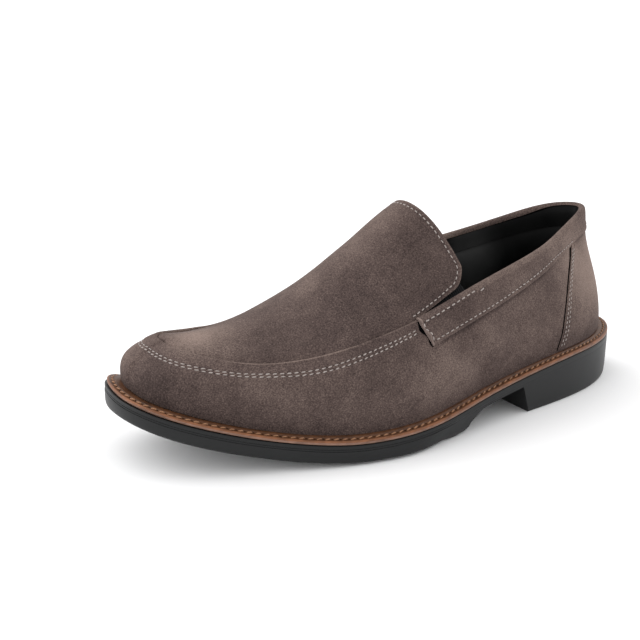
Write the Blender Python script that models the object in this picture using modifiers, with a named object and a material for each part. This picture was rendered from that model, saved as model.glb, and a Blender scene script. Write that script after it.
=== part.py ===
"""Suede slip-on dress shoe with an apron toe: a left shoe, standing on its sole.

Stations run along the shoe from the back of the heel (0) to the toe tip. The toe points
along -Y, the outer side of the foot along +X, and the floor is at Z = 0.
"""
from collections import namedtuple

import bmesh
import bpy
import numpy as np

# Driving sizes, in millimetres
MM = 0.001
LENGTH = 300.0
HEEL_SEAT = 23.8
FORE_SOLE = 10.4
SEAT_DROP_START = 45.0
SEAT_DROP_END = 195.0
TOE_SPRING = 23.3
TOE_THINNING = 2.6
SPRING_START = 200.0
SPRING_POWER = 1.75

WALL = 2.0
WELT_THICK = 4.0
WELT_EDGE = 0.8
INSOLE_THICK = 6.2
GAP = 0.3
INSOLE_CLEAR = 0.5

HANDLE = 0.42
APRON_STEP = 1.2
BAND_FRONT_WIDTH = 15.0
BAND_HEEL_WIDTH = 10.5
BAND_NARROWS = (127.0, 35.0)
BAND_THICK = 1.0
COUNTER_THICK = 0.9
OVERLAY_GAP = 0.35
GORE_OPENING = 5.5
GORE_RISE = 0.9
GORE_THICK = 1.0

WAIST_SOLE = 4.4
HEEL_BREAST_FOOT = 93.0
HEEL_BREAST_TOP = 98.5
WAIST_FRONT = 134.0
STEP_KNEE = 140.5
STEP_FOOT = 145.0
STEP_KNEE_HEIGHT = 6.0
HEEL_TAPER = 1.0
WAIST_TAPER = 4.0
WAIST_TAPER_END = 180.0
GROOVE_START = 142.0
GROOVE_FADE = 20.0

# Front ends of the overlays and their slants, in rows of the section table below
BAND_FRONT = 5.02
BAND_SLANT = 0.13
COUNTER_FRONT = 7.14
COUNTER_SLANT = 0.9
COUNTER_BOW = 2.6
COUNTER_FOOT = 0.005

# Elastic: lap below the wall's edge or place across the tongue, and clearance behind either
GORE_ON_WALL = ((8.8, 0.6), (5.0, 0.6), (1.0, 0.9))
GORE_ON_TONGUE = ((0.985, 1.6), (0.9, 0.9), (0.82, 0.6))

# Tongue behind the gore row: its end in rows, and the shares rounded off at its corners
TONGUE_END = 1.06
TONGUE_CORNER_LENGTH = 0.22
TONGUE_CORNER_WIDTH = 0.1

# One row a section, from the toe tip to the back of the heel. Half widths are to the outer
# and inner side of the shoe's axis, the edge is the apron seam as far as the gore row and the
# collar's topline behind it, and the leans are the wall's angles at the welt and at the edge.
Section = namedtuple(
    "Section",
    "station outer inner margin edge_station edge_outer edge_inner edge_height "
    "foot_lean edge_lean ridge_station",
)
SECTIONS = (
    Section(300.0, -6.0, 6.0, 7.0, 274.0, -8.5, 8.5, 55.0, 3.0, 74.0, 274.0),
    Section(290.0, 17.8, 33.5, 6.5, 269.0, 9.0, 23.0, 54.2, 4.5, 71.0, 267.0),
    Section(270.0, 31.0, 39.0, 5.5, 251.5, 24.5, 31.5, 50.8, 5.0, 62.0, 252.0),
    Section(240.0, 43.5, 45.0, 5.0, 228.0, 36.0, 35.5, 50.8, 7.0, 55.0, 235.0),
    Section(205.0, 55.5, 49.0, 5.0, 203.0, 43.3, 40.0, 55.0, 8.0, 45.0, 209.0),
    Section(165.0, 59.0, 37.5, 5.0, 167.0, 44.3, 38.7, 62.4, 8.0, 30.0, 175.5),
    Section(127.0, 51.2, 29.0, 4.6, 132.0, 42.0, 35.5, 72.4, 8.0, 19.0, 143.5),
    Section(75.0, 43.5, 30.5, 4.2, 81.5, 32.0, 29.0, 82.5, 8.0, 14.0, 100.0),
    Section(35.0, 33.5, 33.5, 4.6, 52.5, 22.0, 25.0, 88.0, 6.0, 11.0, 60.0),
    Section(13.5, 19.8, 24.0, 6.0, 32.0, 12.2, 16.0, 92.8, 2.0, 4.0, 40.0),
    Section(1.5, -2.0, 2.0, 6.5, 21.5, -1.5, 1.5, 94.3, 1.0, 2.0, 30.0),
)
GORE_ROW = 5
TONGUE_ROW = 6
HEEL_ROW = len(SECTIONS) - 1

# Top line of the plug and tongue: height at each station, and how round the section is there,
# from 1.0 for a flat arch to 0.8 for a steep one.
Ridge = namedtuple("Ridge", "station height roundness")
RIDGE = (
    Ridge(274.0, 55.0, 1.0),
    Ridge(255.0, 57.2, 1.0),
    Ridge(240.0, 58.2, 1.0),
    Ridge(220.0, 63.2, 1.0),
    Ridge(200.0, 73.2, 0.98),
    Ridge(180.0, 86.2, 0.92),
    Ridge(165.0, 96.2, 0.87),
    Ridge(150.0, 105.4, 0.83),
    Ridge(135.0, 112.8, 0.8),
)

# Side of the sole, from its top edge down: depth below the top or height above the tread,
# and how far it lies inside the welt's outline.
SideRow = namedtuple("SideRow", "drop rise inset groove taper")
SOLE_SIDE = (
    SideRow(0.0, None, 0.7, 0.0, 0.0),
    SideRow(0.6, None, 0.0, 0.0, 0.0),
    SideRow(1.9, None, 0.0, 0.0, 0.0),
    SideRow(2.2, None, 0.0, 0.8, 0.0),
    SideRow(2.9, None, 0.0, 0.8, 0.0),
    SideRow(3.2, None, -0.2, 0.0, 0.1),
    SideRow(None, 3.2, 0.0, 0.0, 0.7),
    SideRow(None, 0.9, 0.5, 0.0, 0.95),
    SideRow(None, 0.0, 1.6, 0.0, 1.0),
)

# Mesh counts, and the small steps used to find slopes
COLUMNS_PER_ROW = 4
WALL_SHARES = (0.0, 0.1, 0.22, 0.35, 0.48, 0.6, 0.7, 0.79, 0.88, 0.95, 1.0)
RIB_CELLS = 16
TONGUE_SHARES = (0.2, 0.4, 0.6, 0.74, 0.85, 0.93, 0.98, 1.0)
BAND_CELLS = 4
COUNTER_CELLS = 7
GORE_SHARES = (0.26, 0.4, 0.54, 0.68, 0.82, 0.96)
WAIST_POINTS = 6
LENGTH_CELLS = 32
SHARP_ANGLE = 40.0
PLACE_STEP = 0.5
SHARE_STEP = 0.01
ROW_STEP = 0.02
LIFT_REACH = 0.985

# Finishes: colour, roughness, metallic
SUEDE = ("suede", (0.150, 0.115, 0.098), 0.95, 0.0)
SUEDE_TRIM = ("suede_trim", (0.155, 0.120, 0.102), 0.95, 0.0)
ELASTIC = ("black_elastic", (0.012, 0.012, 0.013), 0.8, 0.0)
RUBBER = ("black_rubber", (0.022, 0.023, 0.025), 0.45, 0.0)
WELT_LEATHER = ("brown_welt", (0.190, 0.075, 0.032), 0.55, 0.0)
LINING = ("black_lining", (0.010, 0.010, 0.010), 0.35, 0.0)


def smooth_step(share):
    """Ease from 0 to 1 with level ends."""
    share = np.clip(share, 0.0, 1.0)
    return share * share * (3.0 - 2.0 * share)


def toe_lift(station):
    """Height of the toe spring above the floor."""
    ahead = np.clip(station - SPRING_START, 0.0, None) / (LENGTH - SPRING_START)
    return TOE_SPRING * ahead ** SPRING_POWER


def tread_height(station):
    """Underside of the sole: flat under the forefoot, thinning towards the toe."""
    ahead = np.clip(station - SPRING_START, 0.0, None) / (LENGTH - SPRING_START)
    return toe_lift(station) + TOE_THINNING * ahead ** 2


def seat_height(station):
    """Top of the sole, under the welt."""
    drop = smooth_step((station - SEAT_DROP_START) / (SEAT_DROP_END - SEAT_DROP_START))
    return HEEL_SEAT - (HEEL_SEAT - FORE_SOLE) * drop + toe_lift(station)


def periodic_spline(knots, values):
    """Closed cubic spline through rows of values, one row a knot."""
    values = np.asarray(values, float)
    count = len(values)
    step = np.diff(knots)
    system = np.zeros((count, count))
    right = np.zeros_like(values)
    for i in range(count):
        after = (i + 1) % count
        system[i, i - 1] += step[i - 1]
        system[i, i] += 2.0 * (step[i - 1] + step[i])
        system[i, after] += step[i]
        rise = (values[after] - values[i]) / step[i]
        right[i] = 6.0 * (rise - (values[i] - values[i - 1]) / step[i - 1])
    bend = np.linalg.solve(system, right)

    def value(place):
        place = np.asarray(place, float) % knots[-1]
        i = np.clip(np.searchsorted(knots, place, side="right") - 1, 0, count - 1)
        j = (i + 1) % count
        width = step[i][:, None]
        done = (place - knots[i])[:, None]
        left = width - done
        cubic = (bend[i] * left ** 3 + bend[j] * done ** 3) / (6.0 * width)
        start = (values[i] / width - bend[i] * width / 6.0) * left
        return cubic + start + (values[j] / width - bend[j] * width / 6.0) * done

    return value


def open_spline(places, values):
    """Natural cubic spline through rows of values at rising places."""
    places = np.asarray(places, float)
    values = np.asarray(values, float)
    count = len(places)
    step = np.diff(places)
    system = np.eye(count)
    right = np.zeros_like(values)
    for i in range(1, count - 1):
        system[i, i - 1:i + 2] = step[i - 1], 2.0 * (step[i - 1] + step[i]), step[i]
        rise = (values[i + 1] - values[i]) / step[i]
        right[i] = 6.0 * (rise - (values[i] - values[i - 1]) / step[i - 1])
    bend = np.linalg.solve(system, right)

    def value(place):
        place = np.asarray(place, float)
        i = np.clip(np.searchsorted(places, place, side="right") - 1, 0, count - 2)
        width = step[i][:, None]
        done = (place - places[i])[:, None]
        left = width - done
        cubic = (bend[i] * left ** 3 + bend[i + 1] * done ** 3) / (6.0 * width)
        start = (values[i] / width - bend[i] * width / 6.0) * left
        return cubic + start + (values[i + 1] / width - bend[i + 1] * width / 6.0) * done

    return value


def column(name):
    """One column of the section table."""
    return np.array([getattr(section, name) for section in SECTIONS])


def around(outer, inner):
    """Values in order round the shoe: toe, outer side, heel, inner side."""
    return np.concatenate([outer, inner[-2:0:-1]])


def both_sides(name):
    """One column of the section table, the same on both sides."""
    return around(column(name), column(name))


WELT_POINTS = np.column_stack(
    [around(column("outer"), -column("inner")), both_sides("station")]
)
CHORDS = np.linalg.norm(np.roll(WELT_POINTS, -1, axis=0) - WELT_POINTS, axis=1)
KNOTS = np.concatenate([[0.0], np.cumsum(CHORDS)])
AROUND = KNOTS[-1]

outline = periodic_spline(KNOTS, WELT_POINTS)
edge_line = periodic_spline(
    KNOTS,
    np.column_stack([
        around(column("edge_outer"), -column("edge_inner")),
        both_sides("edge_station"),
        both_sides("edge_height"),
    ]),
)
wall_sizes = periodic_spline(
    KNOTS,
    np.column_stack([both_sides(n) for n in ("margin", "foot_lean", "edge_lean")]),
)
ridge_station = open_spline(np.arange(len(SECTIONS)), column("ridge_station")[:, None])
RIDGE_ROWS = np.array(RIDGE[::-1])
ridge_line = open_spline(RIDGE_ROWS[:, 0], RIDGE_ROWS[:, 1:])

OUTLINE_SAMPLE = outline(np.linspace(0.0, AROUND, 2000))
AXIS_X = 0.5 * (OUTLINE_SAMPLE[:, 0].max() + OUTLINE_SAMPLE[:, 0].min())
AXIS_Y = 0.5 * (OUTLINE_SAMPLE[:, 1].max() + OUTLINE_SAMPLE[:, 1].min())


def place_on(row, side):
    """Distance round the outline at a section row: side 1 is outer, -1 is inner."""
    row = np.asarray(row, float)
    rows = np.arange(len(SECTIONS))
    outer = np.interp(row, rows, KNOTS[:HEEL_ROW + 1])
    inner = np.interp(row, rows, KNOTS[:HEEL_ROW - 1:-1])
    return np.where(np.asarray(side) > 0, outer, inner)


def outward(place):
    """Unit direction out of the outline, in width and station."""
    along = outline(place + PLACE_STEP) - outline(place - PLACE_STEP)
    along /= np.linalg.norm(along, axis=1)[:, None]
    return np.column_stack([-along[:, 1], along[:, 0]])


def in_space(width_station, height):
    """Points of the shoe's frame from width, station and height."""
    return np.column_stack([
        width_station[:, 0] - AXIS_X, AXIS_Y - width_station[:, 1], height
    ])


def inset_outline(place, inset):
    """Outline moved inward by the given distance."""
    return outline(place) - np.reshape(inset, (-1, 1)) * outward(place)


def unit(vectors):
    """Vectors scaled to length one."""
    return vectors / np.linalg.norm(vectors, axis=1)[:, None]


def wall_frame(place):
    """Foot, edge, outward direction and leans of the wall at each place."""
    sizes = wall_sizes(place)
    foot = inset_outline(place, sizes[:, 0])
    foot_height = seat_height(foot[:, 1]) + WELT_THICK + 2.0 * GAP
    edge = edge_line(place)
    out = outward(place)
    out_space = np.column_stack([out[:, 0], -out[:, 1], np.zeros(len(out))])
    leans = np.radians(sizes[:, 1:])
    return in_space(foot, foot_height), in_space(edge[:, :2], edge[:, 2]), out_space, leans


UP = np.array([0.0, 0.0, 1.0])


def bare_wall(place, share):
    """Outer face of the upper's side: share 0 at the welt, 1 at the edge."""
    foot, edge, out, leans = wall_frame(place)
    height = np.linalg.norm(edge - foot, axis=1)[:, None]
    foot_lean, edge_lean = leans[:, :1], leans[:, 1:]
    low = foot + HANDLE * height * (UP * np.cos(foot_lean) + out * np.sin(foot_lean))
    high = edge - HANDLE * height * (UP * np.cos(edge_lean) - out * np.sin(edge_lean))
    v = np.reshape(share, (-1, 1))
    w = 1.0 - v
    return w ** 3 * foot + 3.0 * w * w * v * low + 3.0 * w * v * v * high + v ** 3 * edge


def wall(place, share, lift=0.0):
    """Point of the upper's side, moved off its outer face by lift."""
    place = np.asarray(place, float)
    share = np.asarray(share, float)
    along = bare_wall(place + PLACE_STEP, share) - bare_wall(place - PLACE_STEP, share)
    rise = bare_wall(place, share + SHARE_STEP) - bare_wall(place, share - SHARE_STEP)
    return bare_wall(place, share) + lift * unit(np.cross(along, rise))


def share_below_edge(place, depth):
    """Wall share at a depth below the edge, measured along the wall."""
    shares = np.linspace(1.0, 0.0, LENGTH_CELLS + 1)
    rows = np.array([bare_wall(place, np.full(len(place), s)) for s in shares])
    depths = np.linalg.norm(np.diff(rows, axis=0), axis=2).cumsum(axis=0)
    wanted = np.broadcast_to(depth, len(place))
    return np.array([np.interp(d, [0.0, *line], shares) for d, line in zip(wanted, depths.T)])


def sunk_edge(place):
    """Apron seam on the plug, one step below the wall's raised edge."""
    _, edge, out, leans = wall_frame(place)
    lean = leans[:, 1:]
    return edge - APRON_STEP * (out * np.cos(lean) + UP * np.sin(lean))


def plug_side(row, side):
    """End of a rib of the plug, or of the tongue behind the gore row."""
    place = place_on(row, side)
    open_share = np.clip((row - GORE_ROW) / (TONGUE_ROW - GORE_ROW), 0.0, 1.0)
    _, _, out, _ = wall_frame(place)
    spread = GORE_OPENING * open_share[:, None] * unit(UP * GORE_RISE - out)
    return sunk_edge(place) + spread


def bare_plug(row, across):
    """Outer face of the plug and tongue: across is 1 at the outer edge, -1 at the inner."""
    row = np.asarray(row, float)
    across = np.asarray(across, float)
    outer, inner = plug_side(row, 1), plug_side(row, -1)
    station = ridge_station(row)[:, 0]
    height, roundness = ridge_line(station).T
    middle = np.column_stack([0.5 * (outer[:, 0] + inner[:, 0]), AXIS_Y - station, height])
    end = np.where(across[:, None] >= 0.0, outer, inner)
    fall = 1.0 - np.clip(1.0 - across ** 2, 0.0, 1.0) ** roundness
    share = np.column_stack([np.abs(across), fall, fall])
    return middle + (end - middle) * share


def plug(row, across, lift=0.0):
    """Point of the plug or tongue, moved off its outer face by lift."""
    row = np.asarray(row, float)
    across = np.clip(across, -LIFT_REACH, LIFT_REACH) if lift else np.asarray(across, float)
    back = bare_plug(row + ROW_STEP, across) - bare_plug(row - ROW_STEP, across)
    over = bare_plug(row, across - SHARE_STEP) - bare_plug(row, across + SHARE_STEP)
    return bare_plug(row, across) + lift * unit(np.cross(back, over))


def tongue_reach(share):
    """Half width of the tongue kept at a share of its length, for its rounded corners."""
    turn = np.clip((share - 1.0 + TONGUE_CORNER_LENGTH) / TONGUE_CORNER_LENGTH, 0.0, 1.0)
    return 1.0 - TONGUE_CORNER_WIDTH * (1.0 - np.sqrt(1.0 - turn ** 2))


def loop_places():
    """Columns round the shoe: toe, outer side, heel, inner side."""
    rows = np.arange(HEEL_ROW * COLUMNS_PER_ROW + 1) / COLUMNS_PER_ROW
    return np.concatenate([place_on(rows, 1), place_on(rows[-2:0:-1], -1)])


def make_material(finish):
    """Principled material of one finish."""
    name, colour, roughness, metallic = finish
    material = bpy.data.materials.get(name)
    if material is None:
        material = bpy.data.materials.new(name)
        material.use_nodes = True
        shader = material.node_tree.nodes["Principled BSDF"]
        shader.inputs["Base Color"].default_value = (*colour, 1.0)
        shader.inputs["Roughness"].default_value = roughness
        shader.inputs["Metallic"].default_value = metallic
    return material


def make_object(name, points, faces, finish, collection):
    """Mesh object from points in millimetres."""
    mesh = bpy.data.meshes.new(name)
    mesh.from_pydata((np.asarray(points) * MM).tolist(), [], faces)
    mesh.shade_smooth()
    mesh.set_sharp_from_angle(angle=np.radians(SHARP_ANGLE))
    mesh.materials.append(make_material(finish))
    made = bpy.data.objects.new(name, mesh)
    collection.objects.link(made)
    return made


def thicken(made, thickness, inward):
    """Give an open surface its thickness, below or above its face."""
    shell = made.modifiers.new("Thickness", "SOLIDIFY")
    shell.thickness = thickness * MM
    shell.offset = -1.0 if inward else 1.0
    shell.use_even_offset = True


def grid_faces(rows, columns, first=0, closed=False):
    """Faces of a grid of points, row by row, facing out where columns run round the shoe."""
    faces = []
    for j in range(rows - 1):
        for c in range(columns if closed else columns - 1):
            low, low_next = first + j * columns + c, first + j * columns + (c + 1) % columns
            faces.append((low, low_next, low_next + columns, low + columns))
    return faces


def cap_faces(first, count, upward):
    """Strips of faces across a closed loop, from the toe point to the heel point."""
    faces = []
    half = count // 2
    for k in range(half):
        outer, outer_next = first + k, first + k + 1
        inner, inner_next = first + (count - k) % count, first + count - k - 1
        corners = dict.fromkeys((outer, outer_next, inner_next, inner))
        faces.append(tuple(corners) if upward else tuple(reversed(tuple(corners))))
    return faces


def make_upper(collection):
    """Hollow upper: side wall, apron plug and tongue in one skin, open at collar and foot."""
    places = loop_places()
    count = len(places)
    shares = WALL_SHARES
    points = [wall(places, np.full(count, share)) for share in shares]
    faces = grid_faces(len(shares), count, closed=True)
    top_row = (len(shares) - 1) * count
    total = len(shares) * count

    # The first rib is the single point at the front of the apron.
    points.append(sunk_edge(places[:1]))
    pole = total
    total += 1
    across = np.sin(np.linspace(0.5 * np.pi, -0.5 * np.pi, RIB_CELLS + 1))
    front_rows = np.arange(1, GORE_ROW * COLUMNS_PER_ROW + 1) / COLUMNS_PER_ROW
    reaches = [1.0] * len(front_rows) + [float(tongue_reach(np.array(t))) for t in TONGUE_SHARES]
    rows = list(front_rows) + [GORE_ROW + TONGUE_END * t for t in TONGUE_SHARES]
    for row, reach in zip(rows, reaches):
        points.append(plug(np.full(RIB_CELLS + 1, row), across * reach))
    faces += [(pole, total + i, total + i + 1) for i in range(RIB_CELLS)]
    for k in range(len(rows) - 1):
        for i in range(RIB_CELLS):
            here = total + k * (RIB_CELLS + 1) + i
            after = here + RIB_CELLS + 1
            faces.append((here, after, after + 1, here + 1))

    # The step of the apron seam joins the wall's raised edge to the plug.
    def rib_end(k, last):
        return pole if k == 0 else total + (k - 1) * (RIB_CELLS + 1) + last

    for k in range(len(front_rows)):
        outer, outer_next = top_row + k, top_row + k + 1
        inner, inner_next = top_row + (count - k) % count, top_row + count - k - 1
        faces.append((outer, outer_next, rib_end(k + 1, 0), rib_end(k, 0)))
        faces.append((inner_next, inner, rib_end(k, RIB_CELLS), rib_end(k + 1, RIB_CELLS)))
    upper = make_object("upper", np.concatenate(points), faces, SUEDE, collection)
    thicken(upper, WALL, inward=True)
    return upper


def band_foot(places, below=0.0):
    """Wall share at the lower edge of the collar band, which narrows towards the heel."""
    front, heel = BAND_NARROWS
    share = smooth_step((outline(places)[:, 1] - heel) / (front - heel))
    width = BAND_HEEL_WIDTH + (BAND_FRONT_WIDTH - BAND_HEEL_WIDTH) * share
    return share_below_edge(places, width + below)


def overlay_rows(front):
    """Section rows round the heel, from a front row on the outer side to the inner side."""
    step = 1.0 / COLUMNS_PER_ROW
    whole = np.arange(np.ceil(front / step + 0.5) * step, HEEL_ROW + 0.5 * step, step)
    half = np.concatenate([[front], whole])
    rows = np.concatenate([half, half[-2::-1]])
    sides = np.concatenate([np.ones(len(half)), -np.ones(len(half) - 1)])
    return rows, sides


def make_overlay(name, front, slant, cells, limits, thickness, collection):
    """Strip of leather on the wall round the heel, its front edges cut back by the slant."""
    rows, sides = overlay_rows(front)
    fade = (1.0 - (rows - front) / (HEEL_ROW - front)) ** 2
    points = []
    for cell in range(cells + 1):
        share = cell / cells
        places = place_on(rows + slant(share) * fade, sides)
        low, high = limits(places)
        points.append(wall(places, low + (high - low) * share, OVERLAY_GAP))
    faces = grid_faces(cells + 1, len(rows))
    strip = make_object(name, np.concatenate(points), faces, SUEDE_TRIM, collection)
    thicken(strip, thickness, inward=False)
    return strip


def make_collar_band(collection):
    """Band round the collar, ending in a tab at each gore."""
    def limits(places):
        return band_foot(places), np.ones(len(places))

    def slant(share):
        return BAND_SLANT * (1.0 - share)

    return make_overlay("collar_band", BAND_FRONT, slant, BAND_CELLS, limits, BAND_THICK, collection)


def make_heel_counter(collection):
    """Counter round the heel, from the welt up to the band."""
    def limits(places):
        return np.full(len(places), COUNTER_FOOT), band_foot(places, 2.0 * GAP)

    def slant(share):
        return COUNTER_SLANT * share ** COUNTER_BOW

    return make_overlay("heel_counter", COUNTER_FRONT, slant, COUNTER_CELLS, limits,
                        COUNTER_THICK, collection)


def make_gore(name, side, collection):
    """Elastic behind the slit between the tongue and the collar on one side."""
    rows = GORE_ROW + np.array(GORE_SHARES)
    places = place_on(rows, side)
    strips = []
    for lap, clear in GORE_ON_WALL:
        strips.append(wall(places, share_below_edge(places, lap), -WALL - clear))
    for across, clear in GORE_ON_TONGUE:
        strips.append(plug(rows, np.full(len(rows), side * across), -WALL - clear))
    if side < 0:
        strips.reverse()
    points = np.stack(strips)
    faces = grid_faces(len(strips), len(rows))
    gore = make_object(name, points.reshape(-1, 3), faces, ELASTIC, collection)
    thicken(gore, GORE_THICK, inward=True)
    return gore


def make_welt(collection):
    """Welt strip all round, between the sole and the upper's foot."""
    places = loop_places()
    margin = wall_sizes(places)[:, 0]
    inner = margin + WALL
    rings = (
        (inner, 0.0), (np.full(len(places), WELT_EDGE), 0.0), (np.zeros(len(places)), WELT_EDGE),
        (np.zeros(len(places)), WELT_THICK - WELT_EDGE),
        (np.full(len(places), WELT_EDGE), WELT_THICK), (inner, WELT_THICK),
    )
    points = []
    for inset, rise in rings:
        ring = inset_outline(places, inset)
        points.append(in_space(ring, seat_height(ring[:, 1]) + GAP + rise))
    count = len(places)
    faces = grid_faces(len(rings), count, closed=True)
    last = (len(rings) - 1) * count
    for c in range(count):
        after = (c + 1) % count
        faces.append((last + c, last + after, after, c))
    return make_object("welt", np.concatenate(points), faces, WELT_LEATHER, collection)


def make_insole(collection):
    """Insole board inside the welt and the upper's foot."""
    places = loop_places()
    inset = wall_sizes(places)[:, 0] + WALL + INSOLE_CLEAR
    ring = inset_outline(places, inset)
    seat = seat_height(ring[:, 1])
    points = [in_space(ring, seat + GAP), in_space(ring, seat + GAP + INSOLE_THICK)]
    count = len(places)
    faces = cap_faces(0, count, upward=False)
    faces += grid_faces(2, count, closed=True)
    faces += cap_faces(count, count, upward=True)
    return make_object("insole", np.concatenate(points), faces, LINING, collection)


def waist_cutter(collection):
    """Prism that clears the waist between the heel breast and the forepart's step."""
    waist = np.linspace(HEEL_BREAST_TOP, WAIST_FRONT, WAIST_POINTS)
    below = -FORE_SOLE
    profile = [(HEEL_BREAST_FOOT, 0.0), *zip(waist, seat_height(waist) - WAIST_SOLE)]
    profile += [(STEP_KNEE, STEP_KNEE_HEIGHT), (STEP_FOOT, 0.0), (STEP_FOOT, below)]
    profile.append((HEEL_BREAST_FOOT, below))
    reach = LENGTH / 3.0
    points = [(x, AXIS_Y - s, z) for x in (-reach, reach) for s, z in profile]
    count = len(profile)
    faces = [tuple(range(count)), tuple(range(2 * count - 1, count - 1, -1))]
    for i in range(count):
        after = (i + 1) % count
        faces.append((i, i + count, after + count, after))
    cutter = make_object("waist_cutter", points, faces, RUBBER, collection)
    solid = bmesh.new()
    solid.from_mesh(cutter.data)
    bmesh.ops.recalc_face_normals(solid, faces=solid.faces[:])
    solid.to_mesh(cutter.data)
    solid.free()
    cutter.hide_render = True
    cutter.display_type = "WIRE"
    return cutter


def make_outsole(collection, cutters):
    """Moulded sole: grooved forepart with toe spring, thin waist and block heel in one."""
    places = loop_places()
    ring_station = outline(places)[:, 1]
    waist_length = STEP_FOOT - HEEL_BREAST_FOOT
    heel_share = 1.0 - smooth_step((ring_station - HEEL_BREAST_FOOT) / waist_length)
    fore_share = smooth_step((WAIST_TAPER_END - ring_station) / (WAIST_TAPER_END - STEP_FOOT))
    side_taper = HEEL_TAPER * heel_share + WAIST_TAPER * (1.0 - heel_share) * fore_share
    groove = smooth_step((ring_station - GROOVE_START) / GROOVE_FADE)
    points = []
    for row in SOLE_SIDE:
        inset = row.inset + row.groove * groove + row.taper * side_taper
        ring = inset_outline(places, inset)
        top, tread = seat_height(ring[:, 1]), tread_height(ring[:, 1])
        height = top - row.drop if row.rise is None else tread + row.rise
        points.append(in_space(ring, height))
    count = len(places)
    faces = cap_faces(0, count, upward=True)
    faces += [tuple(reversed(face)) for face in grid_faces(len(SOLE_SIDE), count, closed=True)]
    faces += cap_faces((len(SOLE_SIDE) - 1) * count, count, upward=False)
    sole = make_object("outsole", np.concatenate(points), faces, RUBBER, collection)
    cut = sole.modifiers.new("Waist", "BOOLEAN")
    cut.operation = "DIFFERENCE"
    cut.object = waist_cutter(cutters)
    return sole


def main():
    for old in list(bpy.data.objects):
        bpy.data.objects.remove(old, do_unlink=True)
    shoe = bpy.data.collections.new("slip_on_dress_shoe")
    cutters = bpy.data.collections.new("cutters")
    for collection in (shoe, cutters):
        bpy.context.scene.collection.children.link(collection)
    make_outsole(shoe, cutters)
    make_welt(shoe)
    make_insole(shoe)
    make_upper(shoe)
    make_collar_band(shoe)
    make_heel_counter(shoe)
    make_gore("gore_outer", 1, shoe)
    make_gore("gore_inner", -1, shoe)


main()
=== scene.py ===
"""Looks of a left suede slip-on dress shoe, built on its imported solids.

Stations run along the shoe from the back of the heel to the toe tip, places run round its
welt from the toe over the outer side and the heel, and all sizes are in millimetres until a
mesh is made. The toe points along -Y and the outer side of the foot along +X.
"""

import functools
from collections import namedtuple

import bmesh
import bpy
import numpy as np
from bpy.props import FloatProperty, FloatVectorProperty, PointerProperty
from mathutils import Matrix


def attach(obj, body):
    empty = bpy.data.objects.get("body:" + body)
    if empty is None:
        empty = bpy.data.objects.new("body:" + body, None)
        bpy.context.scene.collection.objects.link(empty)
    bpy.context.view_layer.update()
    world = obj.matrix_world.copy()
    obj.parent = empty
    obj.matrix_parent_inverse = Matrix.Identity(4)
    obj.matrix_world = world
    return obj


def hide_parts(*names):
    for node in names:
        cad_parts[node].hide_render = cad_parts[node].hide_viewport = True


bl_info = {
    "name": "Suede Slip-on Shoe",
    "version": (1, 0, 0),
    "blender": (4, 5, 0),
    "location": "3D View > Sidebar > Shoe",
    "description": "Dresses the frame of a left slip-on shoe in suede, rubber and thread",
    "category": "Add Mesh",
}

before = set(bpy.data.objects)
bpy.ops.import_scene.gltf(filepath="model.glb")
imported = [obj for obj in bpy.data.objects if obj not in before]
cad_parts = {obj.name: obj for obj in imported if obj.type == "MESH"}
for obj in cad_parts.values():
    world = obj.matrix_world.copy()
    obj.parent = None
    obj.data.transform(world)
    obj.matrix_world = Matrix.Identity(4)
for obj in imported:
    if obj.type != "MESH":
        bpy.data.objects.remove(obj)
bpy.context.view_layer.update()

# Sizes of the shoe in millimetres: those of the solids, a few trimmed to the photograph
MM = 0.001
LENGTH = 300.0
HEEL_SEAT = 23.8
FORE_SOLE = 10.4
SEAT_DROP_STATIONS = (45.0, 195.0)
TOE_SPRING = 23.3
TOE_THINNING = 1.4
TOE_THINNING_RATE = 2.2
SPRING_START = 200.0
SPRING_POWER = 1.75
TOE_TWIST = 2.0
TOE_TWIST_STATIONS = (265.0, 295.0)
TOE_TWIST_ACROSS = (6.0, -24.0)
WALL = 2.0
WELT_THICK = 4.0
INSOLE_THICK = 6.2
GAP = 0.3
HANDLE = 0.42
APRON_STEP = 1.2
BAND_FRONT_WIDTH = 15.0
BAND_HEEL_WIDTH = 10.5
BAND_WIDENS = (35.0, 127.0)
BAND_HEEL_DROP = 1.6
BAND_HEEL_DROP_ROWS = (8.4, 9.6)
BAND_FRONT = 5.02
BAND_SLANT = 0.13
COUNTER_FRONT = 7.14
COUNTER_SLANT = 1.12
COUNTER_BOW = 2.5
GORE_OPENING = 4.3
GORE_RISE = 0.9
GORE_ON_WALL = ((8.8, 0.6), (5.0, 0.6), (1.0, 0.9))
GORE_ON_TONGUE = ((0.985, 1.6), (0.9, 0.9), (0.82, 0.6))
TONGUE_END = 1.035
TONGUE_CORNER_LENGTH = 0.22
TONGUE_CORNER_WIDTH = 0.085
TONGUE_DIP = 0.06
TONGUE_DIP_ACROSS = (0.95, 0.05)
TONGUE_FLARE = 2.6
TONGUE_FLARE_ROWS = (4.6, 5.9)
TONGUE_FLARE_ACROSS = (0.9, 0.2)
WAIST_SOLE = 4.4
HEEL_BREAST_FOOT = 93.0
HEEL_BREAST_TOP = 98.5
WAIST_FRONT = 128.0
WAIST_STEP = (
    (131.0, 9.8), (134.0, 7.8), (136.6, 5.8), (137.6, 3.6), (141.0, 1.5), (146.0, 0.2),
    (149.0, 0.0),
)
STEP_FOOT = 145.0
HEEL_TAPER = 0.5
WAIST_TAPER = 4.0
WAIST_TAPER_END = 180.0
GROOVE_STATIONS = (142.0, 162.0)

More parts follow.
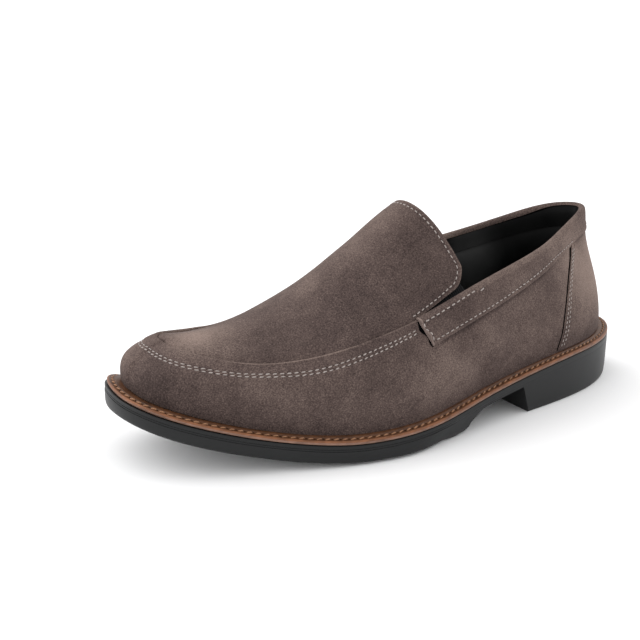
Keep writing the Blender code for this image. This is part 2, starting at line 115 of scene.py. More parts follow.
# One row a section, from the toe tip to the back of the heel. Half widths are to the outer
# and inner side of the shoe's axis, the edge is the apron seam as far as the gore row and the
# collar's topline behind it, and the leans are the wall's angles at the welt and at the edge.
Section = namedtuple(
    "Section",
    "station outer inner margin edge_station edge_outer edge_inner edge_height "
    "foot_lean edge_lean ridge_station",
)
SECTIONS = (
    Section(300.0, -6.0, 6.0, 7.0, 274.0, -8.5, 8.5, 55.0, 3.0, 74.0, 274.0),
    Section(290.0, 17.8, 33.5, 6.5, 269.0, 9.0, 23.0, 54.2, 4.5, 71.0, 267.0),
    Section(270.0, 31.0, 39.0, 5.5, 251.5, 24.5, 31.5, 50.8, 5.0, 62.0, 252.0),
    Section(240.0, 43.5, 45.0, 5.0, 228.0, 36.0, 35.5, 50.8, 7.0, 55.0, 235.0),
    Section(205.0, 55.5, 49.0, 5.0, 203.0, 43.3, 40.0, 55.0, 8.0, 45.0, 209.0),
    Section(165.0, 59.0, 37.5, 5.0, 167.0, 44.3, 38.7, 62.4, 8.0, 30.0, 175.5),
    Section(127.0, 51.2, 29.0, 4.6, 132.0, 42.0, 35.5, 72.4, 8.0, 19.0, 143.5),
    Section(75.0, 43.5, 30.5, 4.2, 81.5, 32.0, 29.0, 82.5, 8.0, 14.0, 100.0),
    Section(35.0, 33.5, 33.5, 4.6, 52.5, 19.5, 25.0, 88.0, 6.0, 11.0, 60.0),
    Section(13.5, 19.8, 24.0, 6.0, 32.0, 10.2, 16.0, 92.8, 2.0, 4.0, 40.0),
    Section(1.5, -2.0, 2.0, 6.5, 21.5, -1.5, 1.5, 94.3, 1.0, 2.0, 30.0),
)
GORE_ROW = 5
TONGUE_ROW = 6
HEEL_ROW = len(SECTIONS) - 1

# Top line of the plug and tongue, and how round the section is there
Ridge = namedtuple("Ridge", "station height roundness")
RIDGE = (
    Ridge(274.0, 55.0, 1.0),
    Ridge(255.0, 57.2, 1.0),
    Ridge(240.0, 58.2, 1.0),
    Ridge(220.0, 63.2, 1.0),
    Ridge(200.0, 73.2, 0.98),
    Ridge(180.0, 86.2, 0.92),
    Ridge(165.0, 96.2, 0.87),
    Ridge(150.0, 105.4, 0.83),
    Ridge(135.0, 112.8, 0.8),
)

# Creases of the suede wall, from one end to the other: side 1 is the outer side, rows are of
# the section table, shares run up the wall, depth is below the face (ridges are negative).
Crease = namedtuple("Crease", "side row share end_row end_share depth width")
CREASES = (
    Crease(1, 5.38, 0.66, 5.98, 0.20, 1.4, 5.0),
    Crease(1, 5.25, 0.56, 5.80, 0.18, -1.2, 6.0),
    Crease(1, 6.05, 0.58, 6.25, 0.25, -0.7, 6.0),
    Crease(1, 6.35, 0.62, 6.50, 0.30, 0.5, 5.0),
    Crease(1, 4.20, 0.42, 4.75, 0.60, 0.5, 7.0),
    Crease(1, 7.50, 0.30, 7.90, 0.70, -0.4, 8.0),
    Crease(-1, 0.90, 0.30, 0.10, 0.30, -1.2, 16.0),
    Crease(-1, 0.75, 0.85, 0.15, 0.85, -0.8, 9.0),
    Crease(-1, 0.90, 1.00, 2.20, 1.00, -0.5, 7.0),
    Crease(-1, 5.35, 0.66, 5.95, 0.22, 1.1, 5.0),
    Crease(-1, 5.20, 0.56, 5.75, 0.20, -0.8, 6.0),
    Crease(-1, 6.25, 0.62, 6.45, 0.28, 0.5, 5.0),
)
CREASE_SPAN = 50.0
SOFT_WAVE = 0.18

# Lighter and darker patches of the suede: partly its brushed nap, partly painted light and shade
# from how the light falls. Side 0 is the plug, where the share is its place across, 1 at the outer
# edge and -1 at the inner.
Patch = namedtuple("Patch", "side row share radius strength")
NAP_AND_PAINTED_LIGHT_PATCHES = (
    Patch(0, 1.45, 0.25, 13.0, 1.10),
    Patch(0, 1.0, 0.55, 10.0, 0.20),
    Patch(0, 2.3, -0.15, 11.0, 0.45),
    Patch(0, 2.9, 0.35, 15.0, -0.15),
    Patch(0, 3.6, 0.45, 22.0, -0.32),
    Patch(0, 4.6, 0.60, 22.0, -0.20),
    Patch(0, 5.7, 0.50, 22.0, -0.40),
    Patch(0, 4.2, -0.10, 13.0, 0.25),
    Patch(0, 5.0, -0.05, 13.0, 0.35),
    Patch(0, 5.7, 0.00, 12.0, 0.45),
    Patch(0, 5.5, 0.90, 14.0, -0.17),
    Patch(-1, 0.6, 0.45, 15.0, 0.40),
    Patch(1, 0.0, 0.45, 10.0, 0.05),
    Patch(1, 0.8, 0.20, 18.0, -0.45),
    Patch(1, 1.9, 0.45, 14.0, -0.10),
    Patch(1, 2.4, 0.62, 9.0, 0.20),
    Patch(1, 2.3, 0.28, 15.0, -0.30),
    Patch(1, 4.1, 0.35, 20.0, -0.15),
    Patch(1, 5.3, 0.38, 17.0, 0.55),
    Patch(1, 5.75, 0.24, 10.0, 0.30),
    Patch(1, 5.72, 0.55, 8.0, -0.30),
    Patch(1, 6.1, 0.48, 13.0, 0.40),
    Patch(1, 6.9, 0.55, 14.0, 0.05),
    Patch(1, 5.5, 0.95, 14.0, -0.22),
    Patch(1, 7.4, 1.0, 14.0, 0.20),
    Patch(1, 8.1, 0.50, 20.0, 0.95),
    Patch(1, 8.2, 0.90, 16.0, 0.40),
    Patch(1, 9.2, 0.40, 18.0, 0.95),
    Patch(1, 9.3, 0.75, 12.0, 0.60),
    Patch(-1, 5.4, 0.40, 18.0, 0.40),
    Patch(-1, 3.8, 0.35, 22.0, -0.30),
    Patch(-1, 7.2, 0.50, 18.0, 0.25),
    Patch(-1, 8.8, 0.50, 20.0, 0.40),
)
# Painted sheen on the lining: a greyer patch standing for the light's reflection on the far inner
# side
LINING_PAINTED_SHEEN = (Patch(-1, 7.2, 0.75, 20.0, 1.0),)
# Painted shade on the suede low on the wall, darkest just above the welt
PAINTED_WELT_SHADE = 0.35
PAINTED_WELT_SHADE_HEIGHT = 9.0

# Stitch rows: depth below the seam or edge they follow
APRON_ROW = ((0.0, 7.4), (1.0, 7.7), (1.5, 7.0), (2.0, 6.2), (2.5, 5.8), (3.0, 6.4), (3.5, 6.6),
             (4.0, 5.9), (5.0, 4.5))
APRON_ROWS_APART = 1.5
APRON_ROWS_SPREAD = 0.5
APRON_SPREAD_ROW = 4.0
APRON_SPREAD_REACH = 0.6
APRON_END = 4.97
APRON_END_FADE = 0.05
BAND_ROW_UP = (2.0, 2.7)
BAND_ROW_DROP = 1.1
BAND_ROW_DROP_ROWS = (7.3, 8.1)
BAND_ROW_FINE = 7.0
TAB_ROW = (2.9, 1.6)
TAB_ROW_END = 6.02
TONGUE_ROW_IN = (1.9, 2.6)
TONGUE_ROW_TURNS = (5.4, 5.9)
COUNTER_ROWS = (1.5, 3.7)
WELT_ROW_IN = 2.4
GROOVE_DEPTH = 0.35
GROOVE_WIDTH = 0.8

# Mesh counts
COLUMNS = 480
EDGE_DEPTHS = (
    16.0, 14.0, 12.5, 11.0, 10.0, 9.4, 8.9, 8.5, 8.1, 7.6, 7.0, 6.6, 6.2, 5.6, 4.8, 4.0,
    3.2, 2.4, 1.7, 1.1, 0.6, 0.25, 0.0,
)
FOOT_CELLS = 24
RIB_CELLS = 64
PLUG_CELLS = 130
TONGUE_CELLS = 56
PLACE_STEP = 0.5
SHARE_STEP = 0.01
ROW_STEP = 0.02
LIFT_REACH = 0.985
TIP_ROWS = 0.5
LENGTH_CELLS = 32


def ease(value, start=0.0, end=1.0):
    """Ease from 0 at the start to 1 at the end, whichever of them is larger."""
    share = np.clip((value - start) / (end - start), 0.0, 1.0)
    return share * share * (3.0 - 2.0 * share)


def bell(away, reach):
    """Fade from 1 to 0 with the distance away."""
    return np.exp(-((away / reach) ** 2))


def spring_share(station):
    """Share of the way from the start of the toe spring to the toe tip."""
    return np.clip(station - SPRING_START, 0.0, None) / (LENGTH - SPRING_START)


def toe_lift(station):
    """Height of the toe spring above the floor."""
    return TOE_SPRING * spring_share(station) ** SPRING_POWER


def tread_height(station):
    """Underside of the sole: flat under the forefoot, thinning towards the toe."""
    ahead = spring_share(station)
    return toe_lift(station) + TOE_THINNING * ease(TOE_THINNING_RATE * ahead)


def seat_height(station):
    """Top of the sole, under the welt."""
    drop = ease(station, *SEAT_DROP_STATIONS)
    return HEEL_SEAT - (HEEL_SEAT - FORE_SOLE) * drop + toe_lift(station)


def seat_on(width_station):
    """Top of the sole at points of width and station, lifted at the inner side of the toe."""
    width, station = np.transpose(width_station)
    twist = ease(station, *TOE_TWIST_STATIONS) * ease(width, *TOE_TWIST_ACROSS)
    return seat_height(station) + TOE_TWIST * twist


def cubic_spline(knots, values, closed=False):
    """Cubic spline through rows of values, one row a knot: a loop, or with straight ends."""
    knots = np.asarray(knots, float)
    values = np.asarray(values, float)
    count = len(values)
    step = np.diff(knots)
    system = np.eye(count)
    right = np.zeros_like(values)
    for i in range(count) if closed else range(1, count - 1):
        after = (i + 1) % count
        system[i] = 0.0
        system[i, i - 1] += step[i - 1]
        system[i, i] += 2.0 * (step[i - 1] + step[i])
        system[i, after] += step[i]
        rise = (values[after] - values[i]) / step[i]
        right[i] = 6.0 * (rise - (values[i] - values[i - 1]) / step[i - 1])
    bend = np.linalg.solve(system, right)

    def value(place):
        place = np.asarray(place, float)
        if closed:
            place = place % knots[-1]
        i = np.clip(np.searchsorted(knots, place, side="right") - 1, 0, len(step) - 1)
        j = (i + 1) % count
        width = step[i][:, None]
        done = (place - knots[i])[:, None]
        left = width - done
        cubic = (bend[i] * left ** 3 + bend[j] * done ** 3) / (6.0 * width)
        start = (values[i] / width - bend[i] * width / 6.0) * left
        return cubic + start + (values[j] / width - bend[j] * width / 6.0) * done

    return value


def column(name):
    """One column of the section table."""
    return np.array([getattr(section, name) for section in SECTIONS])


def around(outer, inner):
    """Values in order round the shoe: toe, outer side, heel, inner side."""
    return np.concatenate([outer, inner[-2:0:-1]])


def both_sides(name):
    """One column of the section table, the same on both sides."""
    return around(column(name), column(name))


WELT_POINTS = np.column_stack(
    [around(column("outer"), -column("inner")), both_sides("station")]
)
CHORDS = np.linalg.norm(np.roll(WELT_POINTS, -1, axis=0) - WELT_POINTS, axis=1)
KNOTS = np.concatenate([[0.0], np.cumsum(CHORDS)])
AROUND = KNOTS[-1]

outline = cubic_spline(KNOTS, WELT_POINTS, closed=True)
edge_line = cubic_spline(
    KNOTS,
    np.column_stack([
        around(column("edge_outer"), -column("edge_inner")),
        both_sides("edge_station"),
        both_sides("edge_height"),
    ]),
    closed=True,
)
wall_sizes = cubic_spline(
    KNOTS,
    np.column_stack([both_sides(n) for n in ("margin", "foot_lean", "edge_lean")]),
    closed=True,
)
ridge_station = cubic_spline(np.arange(len(SECTIONS)), column("ridge_station")[:, None])
RIDGE_ROWS = np.array(RIDGE[::-1])
ridge_line = cubic_spline(RIDGE_ROWS[:, 0], RIDGE_ROWS[:, 1:])

OUTLINE_SAMPLE = outline(np.linspace(0.0, AROUND, 2000))
AXIS_X = 0.5 * (OUTLINE_SAMPLE[:, 0].max() + OUTLINE_SAMPLE[:, 0].min())
AXIS_Y = 0.5 * (OUTLINE_SAMPLE[:, 1].max() + OUTLINE_SAMPLE[:, 1].min())
UP = np.array([0.0, 0.0, 1.0])


def place_on(row, side):
    """Distance round the outline at a section row: side 1 is outer, -1 is inner."""
    row = np.asarray(row, float)
    rows = np.arange(len(SECTIONS))
    outer = np.interp(row, rows, KNOTS[:HEEL_ROW + 1])
    inner = np.interp(row, rows, KNOTS[:HEEL_ROW - 1:-1])
    return np.where(np.asarray(side) > 0, outer, inner)


def row_at(place):
    """Section row at a distance round the outline."""
    rows = np.concatenate([np.arange(HEEL_ROW + 1), np.arange(HEEL_ROW - 1, -1, -1)])
    return np.interp(np.asarray(place, float) % AROUND, KNOTS, rows)


def outward(place):
    """Unit direction out of the outline, in width and station."""
    along = outline(place + PLACE_STEP) - outline(place - PLACE_STEP)
    along /= np.linalg.norm(along, axis=1)[:, None]
    return np.column_stack([-along[:, 1], along[:, 0]])


def in_space(width_station, height):
    """Points of the shoe's frame from width, station and height."""
    return np.column_stack([
        width_station[:, 0] - AXIS_X, AXIS_Y - width_station[:, 1], height
    ])


def inset_outline(place, inset):
    """Outline moved inward by the given distance."""
    return outline(place) - np.reshape(inset, (-1, 1)) * outward(place)


def unit(vectors):
    """Vectors scaled to length one."""
    return vectors / np.linalg.norm(vectors, axis=1)[:, None]


def wall_frame(place):
    """Foot, edge, outward direction and leans of the wall at each place."""
    sizes = wall_sizes(place)
    foot = inset_outline(place, sizes[:, 0])
    foot_height = seat_on(foot) + WELT_THICK + 2.0 * GAP
    edge = edge_line(place)
    out = outward(place)
    out_space = np.column_stack([out[:, 0], -out[:, 1], np.zeros(len(out))])
    leans = np.radians(sizes[:, 1:])
    return in_space(foot, foot_height), in_space(edge[:, :2], edge[:, 2]), out_space, leans


def bare_wall(place, share):
    """Outer face of the upper's side: share 0 at the welt, 1 at the edge."""
    foot, edge, out, leans = wall_frame(place)
    height = np.linalg.norm(edge - foot, axis=1)[:, None]
    foot_lean, edge_lean = leans[:, :1], leans[:, 1:]
    low = foot + HANDLE * height * (UP * np.cos(foot_lean) + out * np.sin(foot_lean))
    high = edge - HANDLE * height * (UP * np.cos(edge_lean) - out * np.sin(edge_lean))
    v = np.reshape(share, (-1, 1))
    w = 1.0 - v
    return w ** 3 * foot + 3.0 * w * w * v * low + 3.0 * w * v * v * high + v ** 3 * edge


def wall(place, share, lift=0.0):
    """Point of the upper's side, moved off its outer face by lift."""
    place = np.asarray(place, float)
    share = np.asarray(share, float)
    along = bare_wall(place + PLACE_STEP, share) - bare_wall(place - PLACE_STEP, share)
    rise = bare_wall(place, share + SHARE_STEP) - bare_wall(place, share - SHARE_STEP)
    normal = unit(np.cross(along, rise))
    return bare_wall(place, share) + np.reshape(lift, (-1, 1)) * normal


def share_at(place, depth):
    """Wall share at a depth below the edge, along the wall; above it the wall runs on."""
    place = np.asarray(place, float)
    shares = np.linspace(1.0, 0.0, LENGTH_CELLS + 1)
    rows = np.array([bare_wall(place, np.full(len(place), s)) for s in shares])
    depths = np.linalg.norm(np.diff(rows, axis=0), axis=2).cumsum(axis=0)
    foot, edge, _, _ = wall_frame(place)
    end_speed = 3.0 * HANDLE * np.linalg.norm(edge - foot, axis=1)
    wanted = np.broadcast_to(depth, len(place))
    below = [np.interp(d, [0.0, *line], shares) for d, line in zip(wanted, depths.T)]
    return np.where(wanted < 0.0, 1.0 - wanted / end_speed, below)


def sunk_edge(place):
    """Apron seam on the plug, one step below the wall's raised edge."""
    _, edge, out, leans = wall_frame(place)
    lean = leans[:, 1:]
    return edge - APRON_STEP * (out * np.cos(lean) + UP * np.sin(lean))


def plug_side(row, side):
    """End of a rib of the plug, or of the tongue behind the gore row."""
    place = place_on(row, side)
    open_share = np.clip((row - GORE_ROW) / (TONGUE_ROW - GORE_ROW), 0.0, 1.0)
    _, _, out, _ = wall_frame(place)
    spread = GORE_OPENING * open_share[:, None] * unit(UP * GORE_RISE - out)
    return sunk_edge(place) + spread


def bare_plug(row, across):
    """Outer face of the plug and tongue: across is 1 at the outer edge, -1 at the inner."""
    row = np.asarray(row, float)
    across = np.asarray(across, float)
    outer, inner = plug_side(row, 1), plug_side(row, -1)
    station = ridge_station(row)[:, 0]
    height, roundness = ridge_line(station).T
    middle = np.column_stack([0.5 * (outer[:, 0] + inner[:, 0]), AXIS_Y - station, height])
    end = np.where(across[:, None] >= 0.0, outer, inner)
    fall = 1.0 - np.clip(1.0 - across ** 2, 0.0, 1.0) ** roundness
    share = np.column_stack([np.abs(across), fall, fall])
    return middle + (end - middle) * share


def plug_normal(row, across):
    """Direction out of the plug or tongue, straight up at the toe point where the ribs meet."""
    tip = ease(np.asarray(row, float), 0.0, TIP_ROWS)[:, None]
    row = np.maximum(row, 0.2 * TIP_ROWS)
    across = np.clip(across, -LIFT_REACH, LIFT_REACH)
    back = bare_plug(row + ROW_STEP, across) - bare_plug(row - ROW_STEP, across)
    over = bare_plug(row, across - SHARE_STEP) - bare_plug(row, across + SHARE_STEP)
    return unit(tip * unit(np.cross(back, over)) + (1.0 - tip) * UP)


def plug(row, across, lift=0.0):
    """Point of the plug or tongue, moved off its outer face by lift."""
    return bare_plug(row, across) + np.reshape(lift, (-1, 1)) * plug_normal(row, across)


def tongue_reach(share):
    """Half width of the tongue kept at a share of its length, for its rounded corners."""
    turn = np.clip((share - 1.0 + TONGUE_CORNER_LENGTH) / TONGUE_CORNER_LENGTH, 0.0, 1.0)
    return 1.0 - TONGUE_CORNER_WIDTH * (1.0 - np.sqrt(1.0 - turn ** 2))


def tongue_row(row, across):
    """Row on the tongue, whose end is cut back a little between its corners."""
    share = np.clip((row - GORE_ROW) / TONGUE_END, 0.0, 1.0)
    return row - TONGUE_DIP * share ** 2 * ease(np.abs(across), *TONGUE_DIP_ACROSS)


def band_width(place):
    """Width of the collar band, which narrows towards the heel and drops a little behind it."""
    share = ease(outline(place)[:, 1], *BAND_WIDENS)
    drop = BAND_HEEL_DROP * ease(row_at(place), *BAND_HEEL_DROP_ROWS)
    return BAND_HEEL_WIDTH + (BAND_FRONT_WIDTH - BAND_HEEL_WIDTH) * share + drop


def apron_row_depth(row):
    """Depth below the apron edge of its upper stitch row, which rises towards the tab."""
    rows, depths = np.array(APRON_ROW).T
    return cubic_spline(rows, depths[:, None])(np.clip(row, 0.0, GORE_ROW))[:, 0]


def apron_rows_apart(row):
    """Distance between the two apron stitch rows, widest in front of the tab."""
    return APRON_ROWS_APART + APRON_ROWS_SPREAD * bell(row - APRON_SPREAD_ROW, APRON_SPREAD_REACH)


def relief(place, share, depth):
    """Lift of the suede wall's face: listed creases, soft waves and stitch grooves."""
    lift = SOFT_WAVE * np.sin(place / 11.0 + 1.0) * np.sin(share * 9.0 + 0.4)
    for crease in CREASES:
        start = np.array([place_on(crease.row, crease.side), crease.share * CREASE_SPAN])
        end = np.array([place_on(crease.end_row, crease.side), crease.end_share * CREASE_SPAN])
        point = np.column_stack([place, share * CREASE_SPAN]) - start
        run = end - start
        along = np.clip(point @ run / (run @ run), 0.0, 1.0)
        away = np.linalg.norm(point - along[:, None] * run, axis=1)
        lift -= crease.depth * bell(away, crease.width)
    row = row_at(place)
    sewn = ease(row, APRON_END + APRON_END_FADE, APRON_END - APRON_END_FADE)
    for below in (0.0, apron_rows_apart(row)):
        away = depth - apron_row_depth(row) - below
        lift -= sewn * GROOVE_DEPTH * bell(away, GROOVE_WIDTH)
    return lift


def draped(place, share, lift):
    """Point above the suede wall's creased face."""
    return wall(place, share, lift + relief(place, share, 0.0))


def patch_shade(points, patches):
    """Lightness at each point from listed patches."""
    shade = np.zeros(len(points))
    for patch in patches:
        row = np.array([patch.row])
        share = np.array([patch.share])
        if patch.side == 0:
            centre = bare_plug(row, share)
        else:
            centre = bare_wall(place_on(row, patch.side), share)
        away = np.linalg.norm(points - centre, axis=1)
        shade += patch.strength * bell(away, patch.radius)
    return shade


class Shape:
    """Points and faces of one piece, gathered part by part."""

    def __init__(self):
        self.points = []
        self.faces = []
        self.finishes = []
        self.count = 0

    def add_points(self, points):
        """Keep points and return the index of the first."""
        first = self.count
        self.points.append(np.asarray(points, float).reshape(-1, 3))
        self.count += len(self.points[-1])
        return first

    def add_faces(self, faces, finish=0):
        """Keep faces of one finish."""
        self.faces.extend(faces)
        self.finishes.extend([finish] * len(faces))

    def add_grid(self, grid, finish=0, closed=False):
        """Keep a grid of points row by row, with one finish or an array of one a cell."""
        rows, columns = grid.shape[:2]
        cells = columns if closed else columns - 1
        first = self.add_points(grid)
        for j in range(rows - 1):
            here = first + j * columns + np.arange(cells)
            after = first + j * columns + (np.arange(cells) + 1) % columns
            quads = np.column_stack([here, after, after + columns, here + columns])
            self.faces.extend(quads.tolist())
        self.finishes.extend(np.broadcast_to(finish, (rows - 1, cells)).ravel().tolist())

    def build(self, name, materials, sharp=50.0, merge=0.0):
        """Make the mesh object in metres, riding on the shoe's body."""
        mesh = bpy.data.meshes.new(name)
        mesh.from_pydata((np.concatenate(self.points) * MM).tolist(), [], self.faces)
        for material in materials:
            mesh.materials.append(material)
        mesh.polygons.foreach_set("material_index", np.array(self.finishes, np.int32))
        if merge:
            solid = bmesh.new()
            solid.from_mesh(mesh)
            bmesh.ops.remove_doubles(solid, verts=solid.verts[:], dist=merge * MM)
            solid.to_mesh(mesh)
            solid.free()
        mesh.shade_smooth()
        mesh.set_sharp_from_angle(angle=np.radians(sharp))
        made = bpy.data.objects.new(name, mesh)
        bpy.context.scene.collection.objects.link(made)
        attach(made, "root")
        return made


def points_of(made):
    """Vertices of a piece in millimetres."""
    points = np.zeros(len(made.data.vertices) * 3)
    made.data.vertices.foreach_get("co", points)
    return points.reshape(-1, 3) / MM


def store_shade(made, name, shade):
    """Keep a lightness at each vertex, for the material to read."""
    layer = made.data.attributes.new(name, "FLOAT", "POINT")
    layer.data.foreach_set("value", shade)


def brush_nap(made, rubbed_and_painted_light=0.0):
    """Store a suede piece's lightness: nap and painted light, painted shade above the welt, and
    the extra given.
    """
    points = points_of(made)
    above = points[:, 2] - seat_height(AXIS_Y - points[:, 1]) - WELT_THICK
    # painted shade just above the welt
    dark = PAINTED_WELT_SHADE * bell(above, PAINTED_WELT_SHADE_HEIGHT)
    store_shade(made, "nap", patch_shade(points, NAP_AND_PAINTED_LIGHT_PATCHES) - dark + rubbed_and_painted_light)


def add_node(material, kind, inputs=None, **settings):
    """Add a shader node, its settings, and its values or links."""
    tree = material.node_tree
    made = tree.nodes.new(kind)
    for name, value in settings.items():
        setattr(made, name, value)
    for name, value in (inputs or {}).items():
        if isinstance(value, bpy.types.NodeSocket):
            tree.links.new(value, made.inputs[name])
        else:
            made.inputs[name].default_value = value
    return made


def new_material(name, roughness, specular=0.5, **sockets):
    """Material with its shader, and the plain values of the shader's sockets."""
    material = bpy.data.materials.new(name)
    material.use_nodes = True
    shader = material.node_tree.nodes["Principled BSDF"]
    shader.inputs["Roughness"].default_value = roughness
    shader.inputs["Specular IOR Level"].default_value = specular
    for socket, value in sockets.items():
        shader.inputs[socket.replace("_", " ").title()].default_value = value
    return material, shader


def noise(material, scale, detail=2.0, roughness=0.5, stretch=(1.0, 1.0, 1.0), distortion=0.0):
    """Noise over the shoe's own coordinates, in patterns a metre."""
    coords = add_node(material, "ShaderNodeTexCoord").outputs["Object"]
    spread = add_node(material, "ShaderNodeMapping", {"Vector": coords, "Scale": stretch})
    return add_node(
        material, "ShaderNodeTexNoise",
        {"Vector": spread.outputs["Vector"], "Scale": scale, "Detail": detail,
         "Roughness": roughness, "Distortion": distortion},
    ).outputs["Fac"]


def scaled(material, value, factor, offset=0.0):
    """A value times a factor plus an offset."""
    return add_node(
        material, "ShaderNodeMath", {0: value, 1: factor, 2: offset}, operation="MULTIPLY_ADD"
    ).outputs[0]


def summed(material, first, second):
    """Two values added."""
    return add_node(material, "ShaderNodeMath", {0: first, 1: second}, operation="ADD").outputs[0]


def ramp(material, value, stops):
    """Colour ramp through stops of place and colour."""
    made = add_node(material, "ShaderNodeValToRGB", {"Fac": value})
    elements = made.color_ramp.elements
    while len(elements) < len(stops):
        elements.new(0.5)
    for element, (place, colour) in zip(elements, stops):
        element.position = place
        element.color = (*colour[:3], 1.0)
    return made.outputs["Color"]


def bump(material, shader, height, strength, distance):
    """Bump of the given height in millimetres."""
    made = add_node(
        material, "ShaderNodeBump",
        {"Height": height, "Strength": strength, "Distance": distance * MM},
    )
    material.node_tree.links.new(made.outputs["Normal"], shader.inputs["Normal"])


def link(material, output, shader, socket):
    """Join an output to one of the shader's sockets."""
    material.node_tree.links.new(output, shader.inputs[socket])


def tinted(colour, factor):
    """A colour made lighter or darker."""
    return [factor * part for part in colour]


def kept(make):
    """Make a finish on its first use and keep it under its function's name."""

    @functools.wraps(make)
    def finish(colours):
        return bpy.data.materials.get(make.__name__) or make(make.__name__, colours)

    return finish


@kept
def taupe_suede(name, colours):
    """Brushed suede: cloudy nap in four tones, short fibres, no gloss, with the painted light and
    shade kept on each piece.
    """
    material, shader = new_material(
        name, 0.95, specular=0.15, sheen_weight=0.18, sheen_roughness=0.55,
        sheen_tint=(*colours.suede_light, 1.0),
    )
    clouds = noise(material, 24.0, detail=3.0, roughness=0.55)
    mottle = noise(material, 130.0, detail=4.0, roughness=0.6, distortion=0.5)
    fibres = noise(material, 1700.0, detail=2.0, roughness=0.6, stretch=(1.0, 0.8, 1.0))
    # Lightness kept on each piece: its nap mixed with painted light and shade
    nap = add_node(material, "ShaderNodeAttribute", attribute_name="nap").outputs["Fac"]
    tone = scaled(material, clouds, 0.55, 0.5 - 0.275)
    tone = summed(material, tone, scaled(material, mottle, 0.45, -0.225))
    tone = summed(material, tone, scaled(material, fibres, 1.5, -0.75))
    tone = summed(material, tone, scaled(material, nap, 0.5))
    stops = (
        (0.26, colours.suede_dark), (0.5, colours.suede), (0.77, colours.suede_light),
        (1.0, tinted(colours.suede_light, 1.45)),
    )
    link(material, ramp(material, scaled(material, tone, 0.6, 0.2), stops), shader, "Base Color")
    height = summed(material, scaled(material, fibres, 0.7), scaled(material, mottle, 0.6))
    bump(material, shader, height, 0.35, 0.35)
    return material


@kept
def suede_cut_edge(name, colours):
    """Cut edge of the suede, paler than its face."""
    material, shader = new_material(name, 0.9)
    grain = noise(material, 900.0, detail=3.0)
    stops = ((0.3, tinted(colours.suede, 1.3)), (0.7, tinted(colours.suede_light, 1.2)))
    link(material, ramp(material, grain, stops), shader, "Base Color")
    bump(material, shader, grain, 0.4, 0.3)
    return material


@kept
def black_lining(name, colours):
    """Smooth black lining leather with a soft gloss, and a greyer patch of painted sheen standing
    for a reflection.
    """
    material, shader = new_material(name, 0.38, specular=0.12)
    pores = noise(material, 1100.0, detail=3.0)
    folds = noise(material, 45.0, detail=2.0)
    worn = add_node(material, "ShaderNodeAttribute", attribute_name="worn").outputs["Fac"]
    tone = summed(material, scaled(material, folds, 0.5), scaled(material, worn, 0.6))
    stops = (
        (0.15, colours.lining), (0.4, tinted(colours.lining, 2.2)),
        (1.0, tinted(colours.lining, 13.0)),
    )
    link(material, ramp(material, tone, stops), shader, "Base Color")
    link(material, scaled(material, folds, 0.25, 0.32), shader, "Roughness")
    bump(material, shader, summed(material, scaled(material, pores, 0.4), folds), 0.2, 0.3)
    return material


@kept
def black_elastic(name, colours):
    """Black elastic webbing, ribbed along its stretch."""
    material, shader = new_material(name, 0.85, specular=0.15)
    coords = add_node(material, "ShaderNodeTexCoord").outputs["Object"]
    ribs = add_node(
        material, "ShaderNodeTexWave",
        {"Vector": coords, "Scale": 260.0, "Distortion": 0.4, "Detail": 1.0},
        wave_type="BANDS", bands_direction="Y",
    ).outputs["Fac"]
    stops = ((0.2, colours.elastic), (0.9, tinted(colours.elastic, 2.5)))
    link(material, ramp(material, ribs, stops), shader, "Base Color")
    bump(material, shader, ribs, 0.6, 0.4)
    return material


@kept
def black_rubber(name, colours):
    """Satin black rubber with a faint bloom and fine moulding grain."""
    material, shader = new_material(name, 0.42, specular=0.28)
    bloom = noise(material, 30.0, detail=4.0, roughness=0.6)
    grain = noise(material, 1600.0, detail=2.0)
    stops = ((0.3, colours.rubber), (0.8, tinted(colours.rubber, 1.5)))
    link(material, ramp(material, bloom, stops), shader, "Base Color")
    link(material, scaled(material, bloom, 0.2, 0.36), shader, "Roughness")
    bump(material, shader, grain, 0.12, 0.15)
    return material


@kept
def dark_gap(name, colours):
    """Painted shadow for the unlit inside of a slit and the band's turn into the shoe."""
    return fluffy_dark(name, tinted(colours.elastic, 0.3), colours.elastic)


def fluffy_dark(name, dark, light):
    """Dull painted shade with a faint speckle, for a slit or a needle hole."""
    material, shader = new_material(name, 1.0, specular=0.0)
    speckle = noise(material, 700.0)
    link(material, ramp(material, speckle, ((0.3, dark), (0.8, light))), shader, "Base Color")
    return material


def welt_leather(name, colour):
    """Waxed welt leather, streaked along its length."""
    material, shader = new_material(
        name, 0.52, specular=0.3, coat_weight=0.04, coat_roughness=0.35
    )
    streaks = noise(material, 160.0, detail=4.0, roughness=0.65, stretch=(1.0, 1.0, 3.0))
    grain = noise(material, 900.0, detail=2.0)
    stops = ((0.25, tinted(colour, 0.45)), (0.52, colour), (0.8, tinted(colour, 1.5)))
    link(material, ramp(material, streaks, stops), shader, "Base Color")
    bump(material, shader, summed(material, scaled(material, grain, 0.5), streaks), 0.3, 0.25)
    return material


def sewing_thread(name, colour):
    """Twisted sewing thread."""
    material, shader = new_material(name, 0.7, sheen_weight=0.2)
    twist = noise(material, 1400.0, detail=2.0)
    stops = ((0.3, tinted(colour, 0.7)), (0.7, colour))
    link(material, ramp(material, twist, stops), shader, "Base Color")
    bump(material, shader, twist, 0.3, 0.1)
    return material


def wall_rows(places):
    """Shares and depths of the wall's rows, from the welt to its edge."""
    near = np.array([share_at(places, depth) for depth in EDGE_DEPTHS])
    climb = np.linspace(0.0, 1.0, FOOT_CELLS, endpoint=False)[:, None]
    shares = np.concatenate([climb * near[0], near])
    gone = (1.0 - climb) * CREASE_SPAN
    low = np.broadcast_to(EDGE_DEPTHS[0] + gone, (FOOT_CELLS, len(places)))
    high = np.broadcast_to(np.array(EDGE_DEPTHS)[:, None], near.shape)
    return shares, np.concatenate([low, high])


